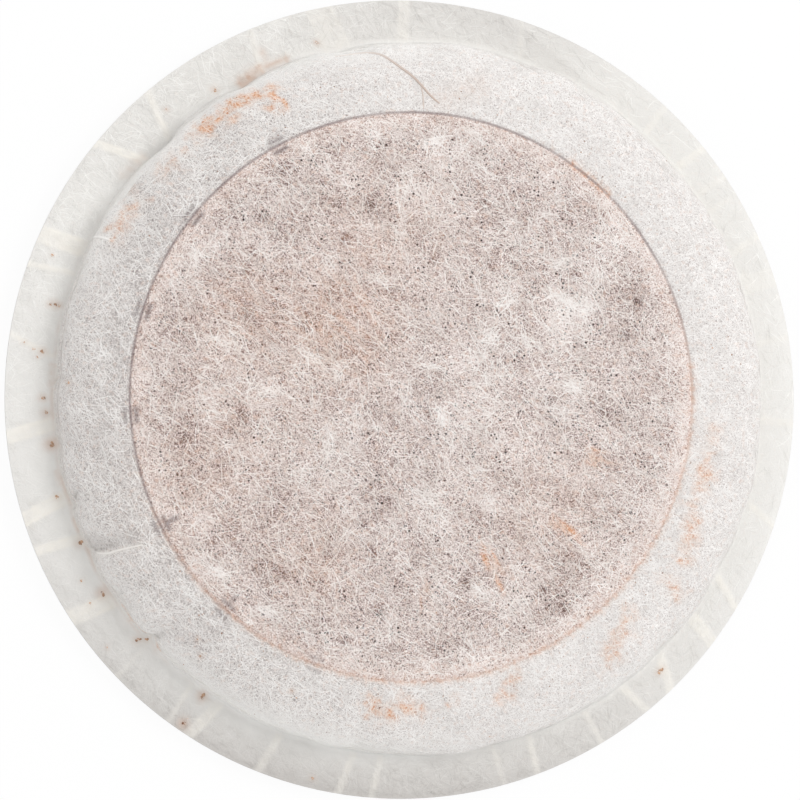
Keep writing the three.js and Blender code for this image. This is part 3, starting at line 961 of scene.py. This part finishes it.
def veil_strands(rng):
    """Flat middles and headings of the strands in the veils."""
    middles, headings = [], []
    for x, y, end_x, end_y in VEILS:
        start, run = np.array([x, y]) * MM, np.array([end_x - x, end_y - y]) * MM
        along = rng.uniform(0, 1, (VEIL_STRANDS, 1))
        middles.append(start + along * run + rng.normal(0, VEIL_WIDTH / 2, (VEIL_STRANDS, 2)))
        headings.append(rng.normal(math.atan2(run[1], run[0]), VEIL_SPREAD, VEIL_STRANDS))
    return np.concatenate(middles), np.concatenate(headings)


def strand_headings(rng, count):
    leaning = rng.normal(STRAND_HEADING, STRAND_SPREAD, count)
    in_line = rng.uniform(0, 1, count) < STRANDS_IN_LINE
    return np.where(in_line, leaning, rng.uniform(0, np.pi, count))


def strand_places(rng, middles, heading, inner, outer):
    """Flat places along strands round their middles, held between two lengths along the paper."""
    count = len(middles)
    size = STRAND_LENGTH * np.exp(rng.normal(0, STRAND_LENGTH_SPREAD, count))
    bend = rng.normal(0, STRAND_BEND, count)
    ahead = np.stack((np.cos(heading), np.sin(heading)), axis=-1)
    aside = np.stack((-np.sin(heading), np.cos(heading)), axis=-1)
    share = np.linspace(-0.5, 0.5, STRAND_STEPS)
    run = size[:, None] * share
    sag = size[:, None] * bend[:, None] * share**2
    places = middles[:, None] + run[..., None] * ahead[:, None] + sag[..., None] * aside[:, None]
    length = polar(places)[1]
    return places * (np.clip(length, inner, outer) / length)[..., None]


def strewn(rng, middles, span):
    """Flat places of strands that lie at chance headings round their middles."""
    return strand_places(rng, middles, strand_headings(rng, len(middles)), *span)


def clear_of_marks(rng, places):
    """Leaves out most of the strands that would hide a mark of the ring."""
    middles = places.mean(axis=1)
    near = np.zeros(len(places), bool)
    for at, _, _ in RIB_MARKS:
        near |= away_from_point(middles, *flat_place(at, RING_AT - PAD_OFFSET)) < MARK_CLEARANCE
    return places[~near | (rng.uniform(0, 1, len(places)) < MARK_STRANDS)]


def thinned(rng, middles):
    """Leaves out most strands towards the foot, more of them on the right."""
    angle, length = polar(middles)
    towards_foot = smooth(length, RING_AT + THINNING_FROM, FOOT_AT)
    kept = 1 - (THINNING[0] + THINNING[1] * right_share(angle)) * towards_foot
    return middles[rng.uniform(0, 1, len(middles)) < kept]


def strand_piece(name, rng, surface, places, slot, paint_sheet, least_tone=0):
    count = len(places)
    tone = least_tone + (1 - least_tone) * rng.uniform(0, 1, count) ** STRAND_TONES
    arch = 1 - (2 * np.linspace(-0.5, 0.5, STRAND_STEPS)) ** 2
    lift = STRAND_LIFT * rng.uniform(LEAST_LIFT, 1, count)[:, None] * arch - STRAND_SINK
    tones = np.repeat(tone[:, None], STRAND_STEPS, axis=1)
    radius = STRAND_WIDTH / 2 * (STRAND_WIDENING[0] + STRAND_WIDENING[1] * tones)
    points = spindle_points(surface, places, radius, lift, STRAND_SIDES)
    shape = (count, STRAND_STEPS, STRAND_SIDES)
    piece = new_piece(name, points, spindle_faces(*shape), spindle_map(*shape), STRANDS)
    paint_sheet(piece, over_points(places, STRAND_SIDES))
    paint(piece, "tone", over_points(tones, STRAND_SIDES))
    return piece


def rounded(points, times=3):
    """A path with its corners cut, which keeps its two ends."""
    for _ in range(times):
        near = 0.75 * points[:-1] + 0.25 * points[1:]
        far = 0.25 * points[:-1] + 0.75 * points[1:]
        cut = np.stack((near, far), axis=1).reshape(-1, 2)
        points = np.concatenate((points[:1], cut, points[-1:]))
    return points


def fold_piece(name, surface, path, width, height, brown):
    """A sharp fold of the paper, as a low ridge that fades at its ends."""
    places = rounded(np.array([flat_place(angle, length * MM) for angle, length in path]))
    fade = np.sqrt(np.sin(np.pi * np.linspace(FOLD_FADE, 1 - FOLD_FADE, len(places))))
    lift = np.zeros((1, len(places)))
    radius = width / 2 * MM * fade[None]
    points = spindle_points(surface, places[None], radius, lift, FOLD_SIDES, 2 * height / width)
    shape = (1, len(places), FOLD_SIDES)
    piece = new_piece(name, points, spindle_faces(*shape), spindle_map(*shape), STRANDS)
    paint_top(piece, over_points(places[None], FOLD_SIDES))
    paint(piece, "tone", np.full(len(points), FOLD_TONE))
    paint(piece, "brown", np.full(len(points), brown))
    piece.data.shade_smooth()


# Cocoa grains on the paper

GRAIN_COUNTS = {(3 * MM, 24.4 * MM): 150, (25 * MM, 28.5 * MM): 170, (28.5 * MM, 33 * MM): 50}
GRAIN_WIDTHS = 0.08, 0.17
GRAIN_TONES = 0.4, 1
GRAIN_ASPECTS = 0.6, 1  # width against length
GRAIN_DENTS = 0.75, 1.2  # how far a point lies from the middle, against a round grain
LUMP_SPREAD = 0.2  # of a speck's lumps round its middle, against its width
LUMP_WIDTHS = 0.5, 0.9  # against the speck's
LUMP_TONES = 0.3, 1


def scattered_grains(rng):
    """Angle, length and width in millimetres, and darkness, of small grains between two lengths."""
    grains = []
    for span, count in GRAIN_COUNTS.items():
        angle, length = polar(scattered(rng, count, *span))
        for k in range(count):
            grains.append((angle[k], length[k] / MM, rng.uniform(*GRAIN_WIDTHS), rng.uniform(*GRAIN_TONES)))
    return grains


def speck_lumps(rng):
    """The specks, each broken up into smaller lumps."""
    lumps = []
    for angle, length, width, darkness in SPECKS:
        for _ in range(SPECK_LUMPS):
            aside, along = rng.normal(0, LUMP_SPREAD * width, 2)
            place = angle + math.degrees(aside / length), length + along
            lumps.append((*place, width * rng.uniform(*LUMP_WIDTHS), darkness * rng.uniform(*LUMP_TONES)))
    return lumps


def grain_piece(surface):
    """Specks and grains as flat, uneven lumps that lie on the sheet."""
    rng = np.random.default_rng(61)
    body = bmesh.new()
    tone = body.verts.layers.float.new("tone")
    for angle, length, width, darkness in speck_lumps(rng) + scattered_grains(rng):
        place, normal = surface.at(flat_place(angle, length * MM))
        upright = Vector(normal).to_track_quat("Z", "X").to_matrix().to_4x4()
        turn = Matrix.Rotation(rng.uniform(0, 2 * np.pi), 4, "Z")
        size = Matrix.Diagonal((1, rng.uniform(*GRAIN_ASPECTS), SPECK_THICKNESS, 1))
        lie = Matrix.Translation(place) @ upright @ turn @ size
        lump = bmesh.ops.create_icosphere(body, subdivisions=2, radius=width / 2 * MM, matrix=lie)
        for vertex in lump["verts"]:
            away = vertex.co - Vector(place)
            vertex.co = Vector(place) + away * rng.uniform(*GRAIN_DENTS)
            vertex[tone] = darkness
    mesh = bpy.data.meshes.new("cocoa_grains")
    body.to_mesh(mesh)
    body.free()
    mesh.materials.append(grain_material())
    mesh.shade_smooth()
    placed("cocoa_grains", mesh)


# Materials


def srgb(red, green, blue):
    """Linear colour of three display values from 0 to 255."""
    shown = np.array([red, green, blue]) / 255
    return tuple(np.where(shown <= 0.04045, shown / 12.92, ((shown + 0.055) / 1.055) ** 2.4)) + (1.0,)


class Shader:
    """The nodes of a material or of the world, under construction."""

    def __init__(self, owner):
        owner.use_nodes = True
        self.owner = owner
        self.nodes = owner.node_tree.nodes
        self.surface = self.nodes.get("Principled BSDF")

    def put(self, socket, value):
        """Links an output to a socket, or sets the socket's own value."""
        if isinstance(value, bpy.types.NodeSocket):
            self.owner.node_tree.links.new(value, socket)
        else:
            socket.default_value = value

    def node(self, kind, inputs, output=0, **settings):
        """An output of a new node with these settings and inputs."""
        node = self.nodes.new("ShaderNode" + kind)
        for name, value in settings.items():
            setattr(node, name, value)
        for name, value in inputs.items():
            self.put(node.inputs[name], value)
        return node.outputs[output]

    def math(self, operation, *values):
        return self.node("Math", dict(enumerate(values)), operation=operation)

    def times(self, first, second):
        return self.math("MULTIPLY", first, second)

    def less(self, first, second):
        return self.math("SUBTRACT", first, second)

    def plus(self, base, value, weight):
        """A base with a weighted value added to it."""
        return self.math("MULTIPLY_ADD", value, weight, base)

    def step(self, value, low, high):
        inputs = {"Value": value, "From Min": low, "From Max": high}
        return self.node("MapRange", inputs, "Result", interpolation_type="SMOOTHSTEP")

    def mix(self, share, first, second):
        return self.node("Mix", {"Factor": share, 6: first, 7: second}, 2, data_type="RGBA")

    def attribute(self, name, output="Fac"):
        return self.node("Attribute", {}, output, attribute_name=name)

    def noise(self, vector, size, detail=0.0, output=0):
        return self.node("TexNoise", {"Vector": vector, "Scale": 1 / size, "Detail": detail}, output)

    def scatter(self, vector, spacing):
        """Distance to the nearest of scattered points, against their spacing, and its chance value."""
        inputs = {"Vector": vector, "Scale": 1 / spacing}
        away = self.node("TexVoronoi", inputs, "Distance", voronoi_dimensions="2D")
        return away, away.node.outputs["Color"]

    def stretched(self, vector, turn, length, width):
        """The vector turned and shifted, then divided by a length and a width."""
        shift = LAYER_SHIFT[0] * turn, LAYER_SHIFT[1] * turn, 0
        scale = length, width, 1
        inputs = {"Vector": vector, "Location": shift, "Rotation": (0, 0, turn), "Scale": scale}
        return self.node("Mapping", inputs, vector_type="TEXTURE")

    def bent(self, vector, size, amount):
        """The vector shifted about by a smooth random field."""
        inputs = {0: self.noise(vector, size, output=1), 1: (amount, amount, 0), 2: vector}
        return self.node("VectorMath", inputs, operation="MULTIPLY_ADD")

    def distance(self, vector, place):
        return self.node("VectorMath", {0: vector, 1: place}, "Value", operation="DISTANCE")

    def bump(self, height, distance, strength):
        inputs = {"Height": height, "Distance": distance, "Strength": strength}
        self.put(self.surface.inputs["Normal"], self.node("Bump", inputs))

    def finish(self, colour, roughness, gloss):
        values = {"Base Color": colour, "Roughness": roughness, "Specular IOR Level": gloss}
        for name, value in values.items():
            self.put(self.surface.inputs[name], value)
        return self.owner


def new_material(name):
    return Shader(bpy.data.materials.new(name))


FIBRE_TURNS = [-75, -48, -30, 5, 35, 62]  # degrees, one for each layer
LAYER_SHIFT = 37, 11  # of a layer for each radian, so that no two layers are alike
FIBRE_LENGTH = 0.7  # millimetres, as is the flat place that patterns follow
FIBRE_SPACING = 0.1
FIBRE_WANDER = 1.5, 0.6  # size and reach of the fibres' bends
FIBRE_EDGE = 0.02, 0.1  # steps of the noise from a fibre's middle to its outside
PULP_SIZE = 0.12  # of the paper's own fine unevenness
FIBRE_WEIGHT, PULP_WEIGHT, DUST_WEIGHT = 0.7, 3.9, -0.9
PAPER_LEVEL = 0.85  # thickness of the paper where nothing adds to it
CLOUD_WEIGHT = 0.25, 0.35  # of the clouds beyond the powder, and what is added over it
STRAND_CLOUD = 0.3  # weight of the clouds in a strand's tone
STRAND_GRAIN = 0.9, -0.6  # weight of a smudge on the dullest strand, and its change up to the clearest
PORE_SPACING = 0.4
PORE_SIZE = 0.36  # radius of the largest, against the spacing
PORE_EDGE = PORE_SIZE / 5  # width of its soft edge
THIN_SPOTS = [  # places where the paper is thinnest
    (-3.9, 16.7), (-6.1, 13.7), (-14.8, 10.8), (-14.6, 7.2), (-9.8, 5.9), (-13.3, 15.4), (1.8, 11.7),
    (-2.1, 9.2), (-15, -1.7), (-1.8, -5.8), (-4.8, -10.9), (-3, -18.5), (4.6, -16.1), (11.5, -16.7),
    (13.3, -18.5), (19.8, 8.3), (18.6, 5.5), (16.6, -1.2), (14.2, 10.6), (-6, -21.1), (-20, -3.7),
    (1.3, -1.4), (11.9, -0.1), (-11.4, 19.8), (-14.2, 12.5), (6.2, 16.7), (1.8, -21.9), (-3.5, -13.5),
]
THIN_SPOT_SIZE = 0.9
PORE_CLUSTER = 1.4
PORE_CLUSTER_STEP = 0.2, 0.75
TINT_SIZE = 0.5  # of the warmer spots
TINT_STEP = 0.52, 0.72
TINT_SIDE, TINT_POWDER, TINT_RIM = 0.18, 0.08, -0.13  # strength on the side, and its change elsewhere
SMUDGE_GRAIN = 0.2
SMUDGE_STEP = 0.38, 0.66
SMUDGE_WEIGHT = 0.6, 0.8  # of a smudge between its grains, and what is added in them
SMUDGE_MOST, CREAM_MOST, MARK_MOST = 0.85, 0.8, 0.75
PAPER_BUMP = 0.02 * MM, 0.5  # height and strength
PAPER_FINISH, STRAND_FINISH, GRAIN_FINISH = (0.92, 0.15), (0.8, 0.2), (0.9, 0.2)  # roughness and gloss
DULL_GLOSS = 0.3
GRAIN_MOTTLE = 0.1 * MM, 0.4  # size and strength of the shades on a grain
GRAIN_STEP = 0.1, 1
SHADE_STEP = 0.35, 0.65

# Colours: where there are three, over the powder, on the bare side and on the rim
PORES = srgb(46, 35, 32), srgb(166, 158, 156), srgb(214, 212, 208)
GAPS = srgb(98, 75, 71), srgb(172, 164, 162), srgb(229, 227, 223)
THIN = srgb(192, 171, 164), srgb(215, 209, 206), srgb(233, 231, 227)
VEIL = srgb(226, 213, 209), srgb(229, 225, 222), srgb(236, 234, 230)
FIBRE = srgb(251, 245, 242), srgb(250, 247, 245), srgb(239, 237, 233)
WARM = srgb(226, 190, 168)
DULL_STRAND = srgb(222, 212, 206), srgb(229, 225, 222), srgb(218, 216, 212)
CLEAR_STRAND = srgb(250, 246, 243), srgb(248, 246, 244), srgb(253, 252, 249)
ORANGE = srgb(240, 184, 136)
DEEP_ORANGE = srgb(206, 142, 100)
SPECK = srgb(206, 164, 134)
MARK = srgb(112, 99, 100)
# painted shade of the ring line's bend, and its painted lit crest in tan
RING_LINE_SHADE = srgb(136, 119, 118)
TAN_LIT_CREST = srgb(204, 168, 148)
# creamy colour of the pressed folds, also used for the painted highlight along a ridge
CREAM_AND_HIGHLIGHT = srgb(252, 248, 240)
# colour of the painted shade
PAINTED_SHADE_COLOUR = srgb(176, 170, 166)
# colour of the painted light
PAINTED_LIGHT_COLOUR = srgb(255, 254, 251)
BROWN = srgb(168, 132, 108)
GRAINS = srgb(216, 180, 152), srgb(128, 94, 76)
RING_SHADES = srgb(206, 202, 196), srgb(220, 216, 210)
COCOA_SHADES = srgb(84, 52, 36), srgb(140, 92, 66)


def fibre_count(shader, flat):
    """How many fibres lie over each other at a place: crossed layers of thin, wavy lines."""
    wandering = shader.bent(flat, *FIBRE_WANDER)
    total = float(len(FIBRE_TURNS))
    for turn in FIBRE_TURNS:
        layer = shader.stretched(wandering, math.radians(turn), FIBRE_LENGTH, FIBRE_SPACING)
        away = shader.math("ABSOLUTE", shader.less(shader.noise(layer, 1), 0.5))
        total = shader.less(total, shader.step(away, *FIBRE_EDGE))
    return total


def pore_share(shader, flat):
    """Small dark holes in the paper, scattered in clusters and of uneven size."""
    away, chance = shader.scatter(flat, PORE_SPACING)
    uneven = shader.times(chance, shader.step(shader.noise(flat, PORE_CLUSTER), *PORE_CLUSTER_STEP))
    inside = shader.less(shader.times(uneven, PORE_SIZE), away)
    return shader.times(shader.step(inside, 0, PORE_EDGE), shader.attribute("dust"))


def thin_share(shader, flat):
    """The spots where the paper is thinnest."""
    total = 0.0
    for spot in THIN_SPOTS:
        away = shader.distance(flat, (*spot, 0))
        total = shader.less(shader.math("ADD", total, 1), shader.step(away, 0, THIN_SPOT_SIZE))
    return total


def zone_colour(shader, colours):
    bare = shader.mix(shader.attribute("rim"), colours[1], colours[2])
    return shader.mix(shader.attribute("powder"), bare, colours[0])


def ring_line_with_shade(shader, flat):
    """The thin line where the paper bends over the ring: pressed paper with painted shade in the bend."""
    from_middle = shader.distance(flat, (0, 0, 0))
    away = shader.math("ABSOLUTE", shader.less(from_middle, RING_AT / MM))
    line = shader.less(1, shader.step(away, 0.2 * RING_LINE_WIDTH / MM, RING_LINE_WIDTH / MM))
    return shader.times(line, shader.attribute("line"))


def stained(shader, colour, grain, orange_colour):
    """Painted light and shade, cocoa, the folds' creamy colour with the painted ridge highlight, and the
    ring's marks over the paper's own colour.
    """
    # painted light, then painted shade, over the paper's colour
    colour = shader.mix(shader.attribute("painted_light"), colour, PAINTED_LIGHT_COLOUR)
    colour = shader.mix(shader.attribute("painted_shade"), colour, PAINTED_SHADE_COLOUR)
    # the folds' creamy colour, and the painted ridge highlight
    colour = shader.mix(shader.times(shader.attribute("cream_and_highlight"), CREAM_MOST), colour, CREAM_AND_HIGHLIGHT)
    orange = shader.times(shader.attribute("orange"), grain)
    colour = shader.mix(shader.math("MINIMUM", orange, SMUDGE_MOST), colour, orange_colour)
    colour = shader.mix(shader.attribute("speck"), colour, SPECK)
    return shader.mix(shader.times(shader.attribute("mark"), MARK_MOST), colour, MARK)


def paper_thickness(shader, flat, fibres):
    """How much the paper hides: below 0 in its gaps, and above 3 where fibres cover it."""
    clouds = shader.plus(CLOUD_WEIGHT[0], shader.attribute("powder"), CLOUD_WEIGHT[1])
    thick = shader.plus(PAPER_LEVEL - PULP_WEIGHT / 2, fibres, FIBRE_WEIGHT)
    thick = shader.plus(thick, shader.noise(flat, PULP_SIZE), PULP_WEIGHT)
    thick = shader.plus(thick, shader.attribute("dust"), DUST_WEIGHT)
    return shader.plus(thick, shader.attribute("cloud"), clouds)


def warm_share(shader, flat):
    """Small spots of warmer paper, faintest on the rim."""
    strength = shader.plus(TINT_SIDE, shader.attribute("powder"), TINT_POWDER)
    strength = shader.plus(strength, shader.attribute("rim"), TINT_RIM)
    return shader.times(shader.step(shader.noise(flat, TINT_SIZE, 1), *TINT_STEP), strength)


def paper_material(name):
    shader = new_material(name)
    flat = shader.attribute("flat", "Vector")
    fibres = fibre_count(shader, flat)
    thick = paper_thickness(shader, flat, fibres)
    if name == "top_paper":
        thick = shader.less(thick, thin_share(shader, flat))
    colour = zone_colour(shader, GAPS)
    for count, colours in enumerate((THIN, VEIL, FIBRE)):
        colour = shader.mix(shader.step(thick, count, count + 1), colour, zone_colour(shader, colours))
    colour = shader.mix(warm_share(shader, flat), colour, WARM)
    colour = shader.mix(pore_share(shader, flat), colour, zone_colour(shader, PORES))
    speckle = shader.step(shader.noise(flat, SMUDGE_GRAIN), *SMUDGE_STEP)
    grain = shader.plus(SMUDGE_WEIGHT[0], speckle, SMUDGE_WEIGHT[1])
    orange = shader.mix(speckle, ORANGE, DEEP_ORANGE)
    shader.bump(fibres, *PAPER_BUMP)
    # the ring line: pressed paper with painted shade, tan where its crest is painted as lit
    ring_line_shade_colour = shader.mix(shader.attribute("tan"), RING_LINE_SHADE, TAN_LIT_CREST)
    colour = shader.mix(ring_line_with_shade(shader, flat), stained(shader, colour, grain, orange), ring_line_shade_colour)
    return shader.finish(colour, *PAPER_FINISH)


def strand_material():
    shader = new_material("paper_strand")
    tone = shader.attribute("tone")
    clear = shader.step(shader.plus(tone, shader.attribute("cloud"), STRAND_CLOUD), 0, 1)
    colour = shader.mix(clear, zone_colour(shader, DULL_STRAND), zone_colour(shader, CLEAR_STRAND))
    colour = shader.mix(shader.attribute("brown"), colour, BROWN)
    grain = shader.plus(STRAND_GRAIN[0], tone, STRAND_GRAIN[1])
    return shader.finish(stained(shader, colour, grain, ORANGE), *STRAND_FINISH)


def grain_material():
    shader = new_material("cocoa_grain")
    size, strength = GRAIN_MOTTLE
    patchy = shader.less(shader.noise(shader.node("TexCoord", {}, "Object"), size, 2), 0.5)
    dark = shader.plus(shader.attribute("tone"), patchy, strength)
    colour = shader.mix(shader.step(dark, *GRAIN_STEP), *GRAINS)
    return shader.finish(colour, *GRAIN_FINISH)


def grainy_material(name, shades, size, roughness):
    """A matte, uneven surface of two colours, with painted shade: the darker one lies in the bump's
    hollows.
    """
    shader = new_material(name)
    grain = shader.noise(shader.node("TexCoord", {}, "Object"), size, 4)
    shader.bump(grain, size / 4, 0.4)
    return shader.finish(shader.mix(shader.step(grain, *SHADE_STEP), *shades), roughness, DULL_GLOSS)


STRANDS = strand_material()


# The pod


def dress_top():
    """The upper sheet, with its folds, fibres and grains."""
    grid = top_grid()
    piece, places = sheet_piece("top_paper_sheet", grid, paper_material("top_paper"), False)
    paint_top(piece, places)
    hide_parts("top_filter_sheet")
    surface = Surface(grid[0], grid[2])
    dress_fibres(surface)
    for number, fold in enumerate(FOLDS, 1):
        fold_piece(f"paper_fold_{number}", surface, *fold)
    grain_piece(surface)


def dress_fibres(surface):
    """Strands over the crown, in its veils, down the side and on the rim."""
    rng = np.random.default_rng(51)
    crown = INNERMOST, RING_AT - LINE_MARGIN
    side = RING_AT + LINE_MARGIN, FOOT_AT - FOOT_MARGIN
    rim = FOOT_AT + RIM_MARGINS[0], EDGE_AT - RIM_MARGINS[1]
    paper = "top_paper", paint_top
    middles = np.concatenate((scattered(rng, CROWN_STRANDS, *crown), wisps(rng)))
    places = clear_of_marks(rng, strewn(rng, middles, crown))
    strand_piece("crown_fibres", rng, surface, places, *paper)
    places = strand_places(rng, *veil_strands(rng), *crown)
    strand_piece("veil_fibres", rng, surface, places, *paper, least_tone=VEIL_TONE)
    middles = thinned(rng, scattered(rng, SIDE_STRANDS, *side))
    places = clear_of_marks(rng, strewn(rng, middles, side))
    strand_piece("side_fibres", rng, surface, places, *paper)
    middles = thinned(rng, scattered(rng, RIM_STRANDS, *rim))
    strand_piece("rim_fibres", rng, surface, strewn(rng, middles, rim), *paper)


def dress_bottom():
    grid = bottom_grid()
    paper = paper_material("bottom_paper")
    piece, places = sheet_piece("bottom_paper_sheet", grid, paper, True)
    paint_bottom(piece, places)
    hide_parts("bottom_filter_sheet")
    rng = np.random.default_rng(53)
    base = INNERMOST, DISH_RADIUS - FOOT_MARGIN
    places = strewn(rng, scattered(rng, BASE_STRANDS, *base), base)
    surface = Surface(grid[0], grid[2], outwards=-1)
    strand_piece("base_fibres", rng, surface, places, "bottom_paper", paint_bottom)


def dress_inner_parts():
    plastic = grainy_material("ring_plastic", RING_SHADES, 0.6 * MM, roughness=0.5)
    cocoa = grainy_material("cocoa_powder", COCOA_SHADES, 0.3 * MM, roughness=0.95)
    for node, material in (("support_ring", plastic), ("cocoa_powder_fill", cocoa)):
        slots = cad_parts[node].data.materials
        slots.clear()
        slots.append(material)


# Floor, light and camera


def seen_ray(shader):
    """1 for what is seen straight, in gloss or through glass, and 0 for light that falls on things."""
    straight = shader.node("LightPath", {}, "Is Camera Ray")
    path = straight.node.outputs
    seen = shader.math("MAXIMUM", straight, path["Is Glossy Ray"])
    return shader.math("MAXIMUM", seen, path["Is Transmission Ray"])


FLOOR_SIZE = 3
FLOOR_GAP = 0.05 * MM
FLOOR_GLOW = 0.95  # share of plain white in what the camera sees of the floor
FLOOR_COLOUR = 0.9, 0.9, 0.9, 1


def floor():
    bpy.ops.mesh.primitive_plane_add(size=FLOOR_SIZE, location=(0, 0, -FLOOR_GAP))
    plane = bpy.context.object
    plane.name = "floor"
    shader = new_material("floor_white")
    shader.put(shader.surface.inputs["Base Color"], FLOOR_COLOUR)
    shader.put(shader.surface.inputs["Roughness"], 1)
    glow = shader.node("Emission", {})
    share = shader.times(seen_ray(shader), FLOOR_GLOW)
    blend = shader.node("MixShader", {0: share, 1: shader.surface.outputs[0], 2: glow})
    shader.put(shader.nodes["Material Output"].inputs["Surface"], blend)
    plane.data.materials.append(shader.owner)


AMBIENT = 0.7  # strength of the white surroundings as a light


def surroundings():
    world = bpy.data.worlds.new("studio")
    bpy.context.scene.world = world
    shader = Shader(world)
    strength = {"Value": seen_ray(shader), "To Min": AMBIENT, "To Max": 1}
    background = shader.nodes["Background"].inputs
    shader.put(background["Color"], (1, 1, 1, 1))
    shader.put(background["Strength"], shader.node("MapRange", strength, "Result"))


LAMPS = {  # place, size and power
    "key": (Vector((0.28, 0.13, 0.42)), 0.3, 1.33),
    "fill": (Vector((-0.42, 0, 0.15)), 0.7, 0.45),
}


def looking_at(place, target, up):
    """Turn of a camera or lamp at a place that looks at a target."""
    back = (place - target).normalized()
    right = up.cross(back).normalized()
    return Matrix((right, back.cross(right), back)).transposed().to_4x4()


def lamps():
    for name, (place, size, power) in LAMPS.items():
        light = bpy.data.lights.new(name, "AREA")
        light.size = size
        light.energy = power
        lamp = bpy.data.objects.new(name, light)
        turn = looking_at(place, Vector((0, 0, 0)), Vector((0, 0, 1)))
        lamp.matrix_world = Matrix.Translation(place) @ turn
        bpy.context.scene.collection.objects.link(lamp)


def camera():
    lens = bpy.data.cameras.new("camera")
    lens.sensor_width = SENSOR
    lens.lens = SENSOR / 2 * CAMERA_DISTANCE / HALF_VIEW
    lens.clip_start = CLIP_START
    back = Vector((
        -math.cos(CAMERA_SWING) * math.sin(CAMERA_TILT),
        -math.sin(CAMERA_SWING) * math.sin(CAMERA_TILT),
        math.cos(CAMERA_TILT),
    ))
    place = CAMERA_AIM + CAMERA_DISTANCE * back
    eye = bpy.data.objects.new("camera", lens)
    eye.matrix_world = Matrix.Translation(place) @ looking_at(place, CAMERA_AIM, Vector((0, 1, 0)))
    bpy.context.scene.collection.objects.link(eye)
    bpy.context.scene.camera = eye


camera()
floor()
surroundings()
lamps()
dress_top()
dress_bottom()
dress_inner_parts()
bpy.context.scene.view_settings.view_transform = "Standard"
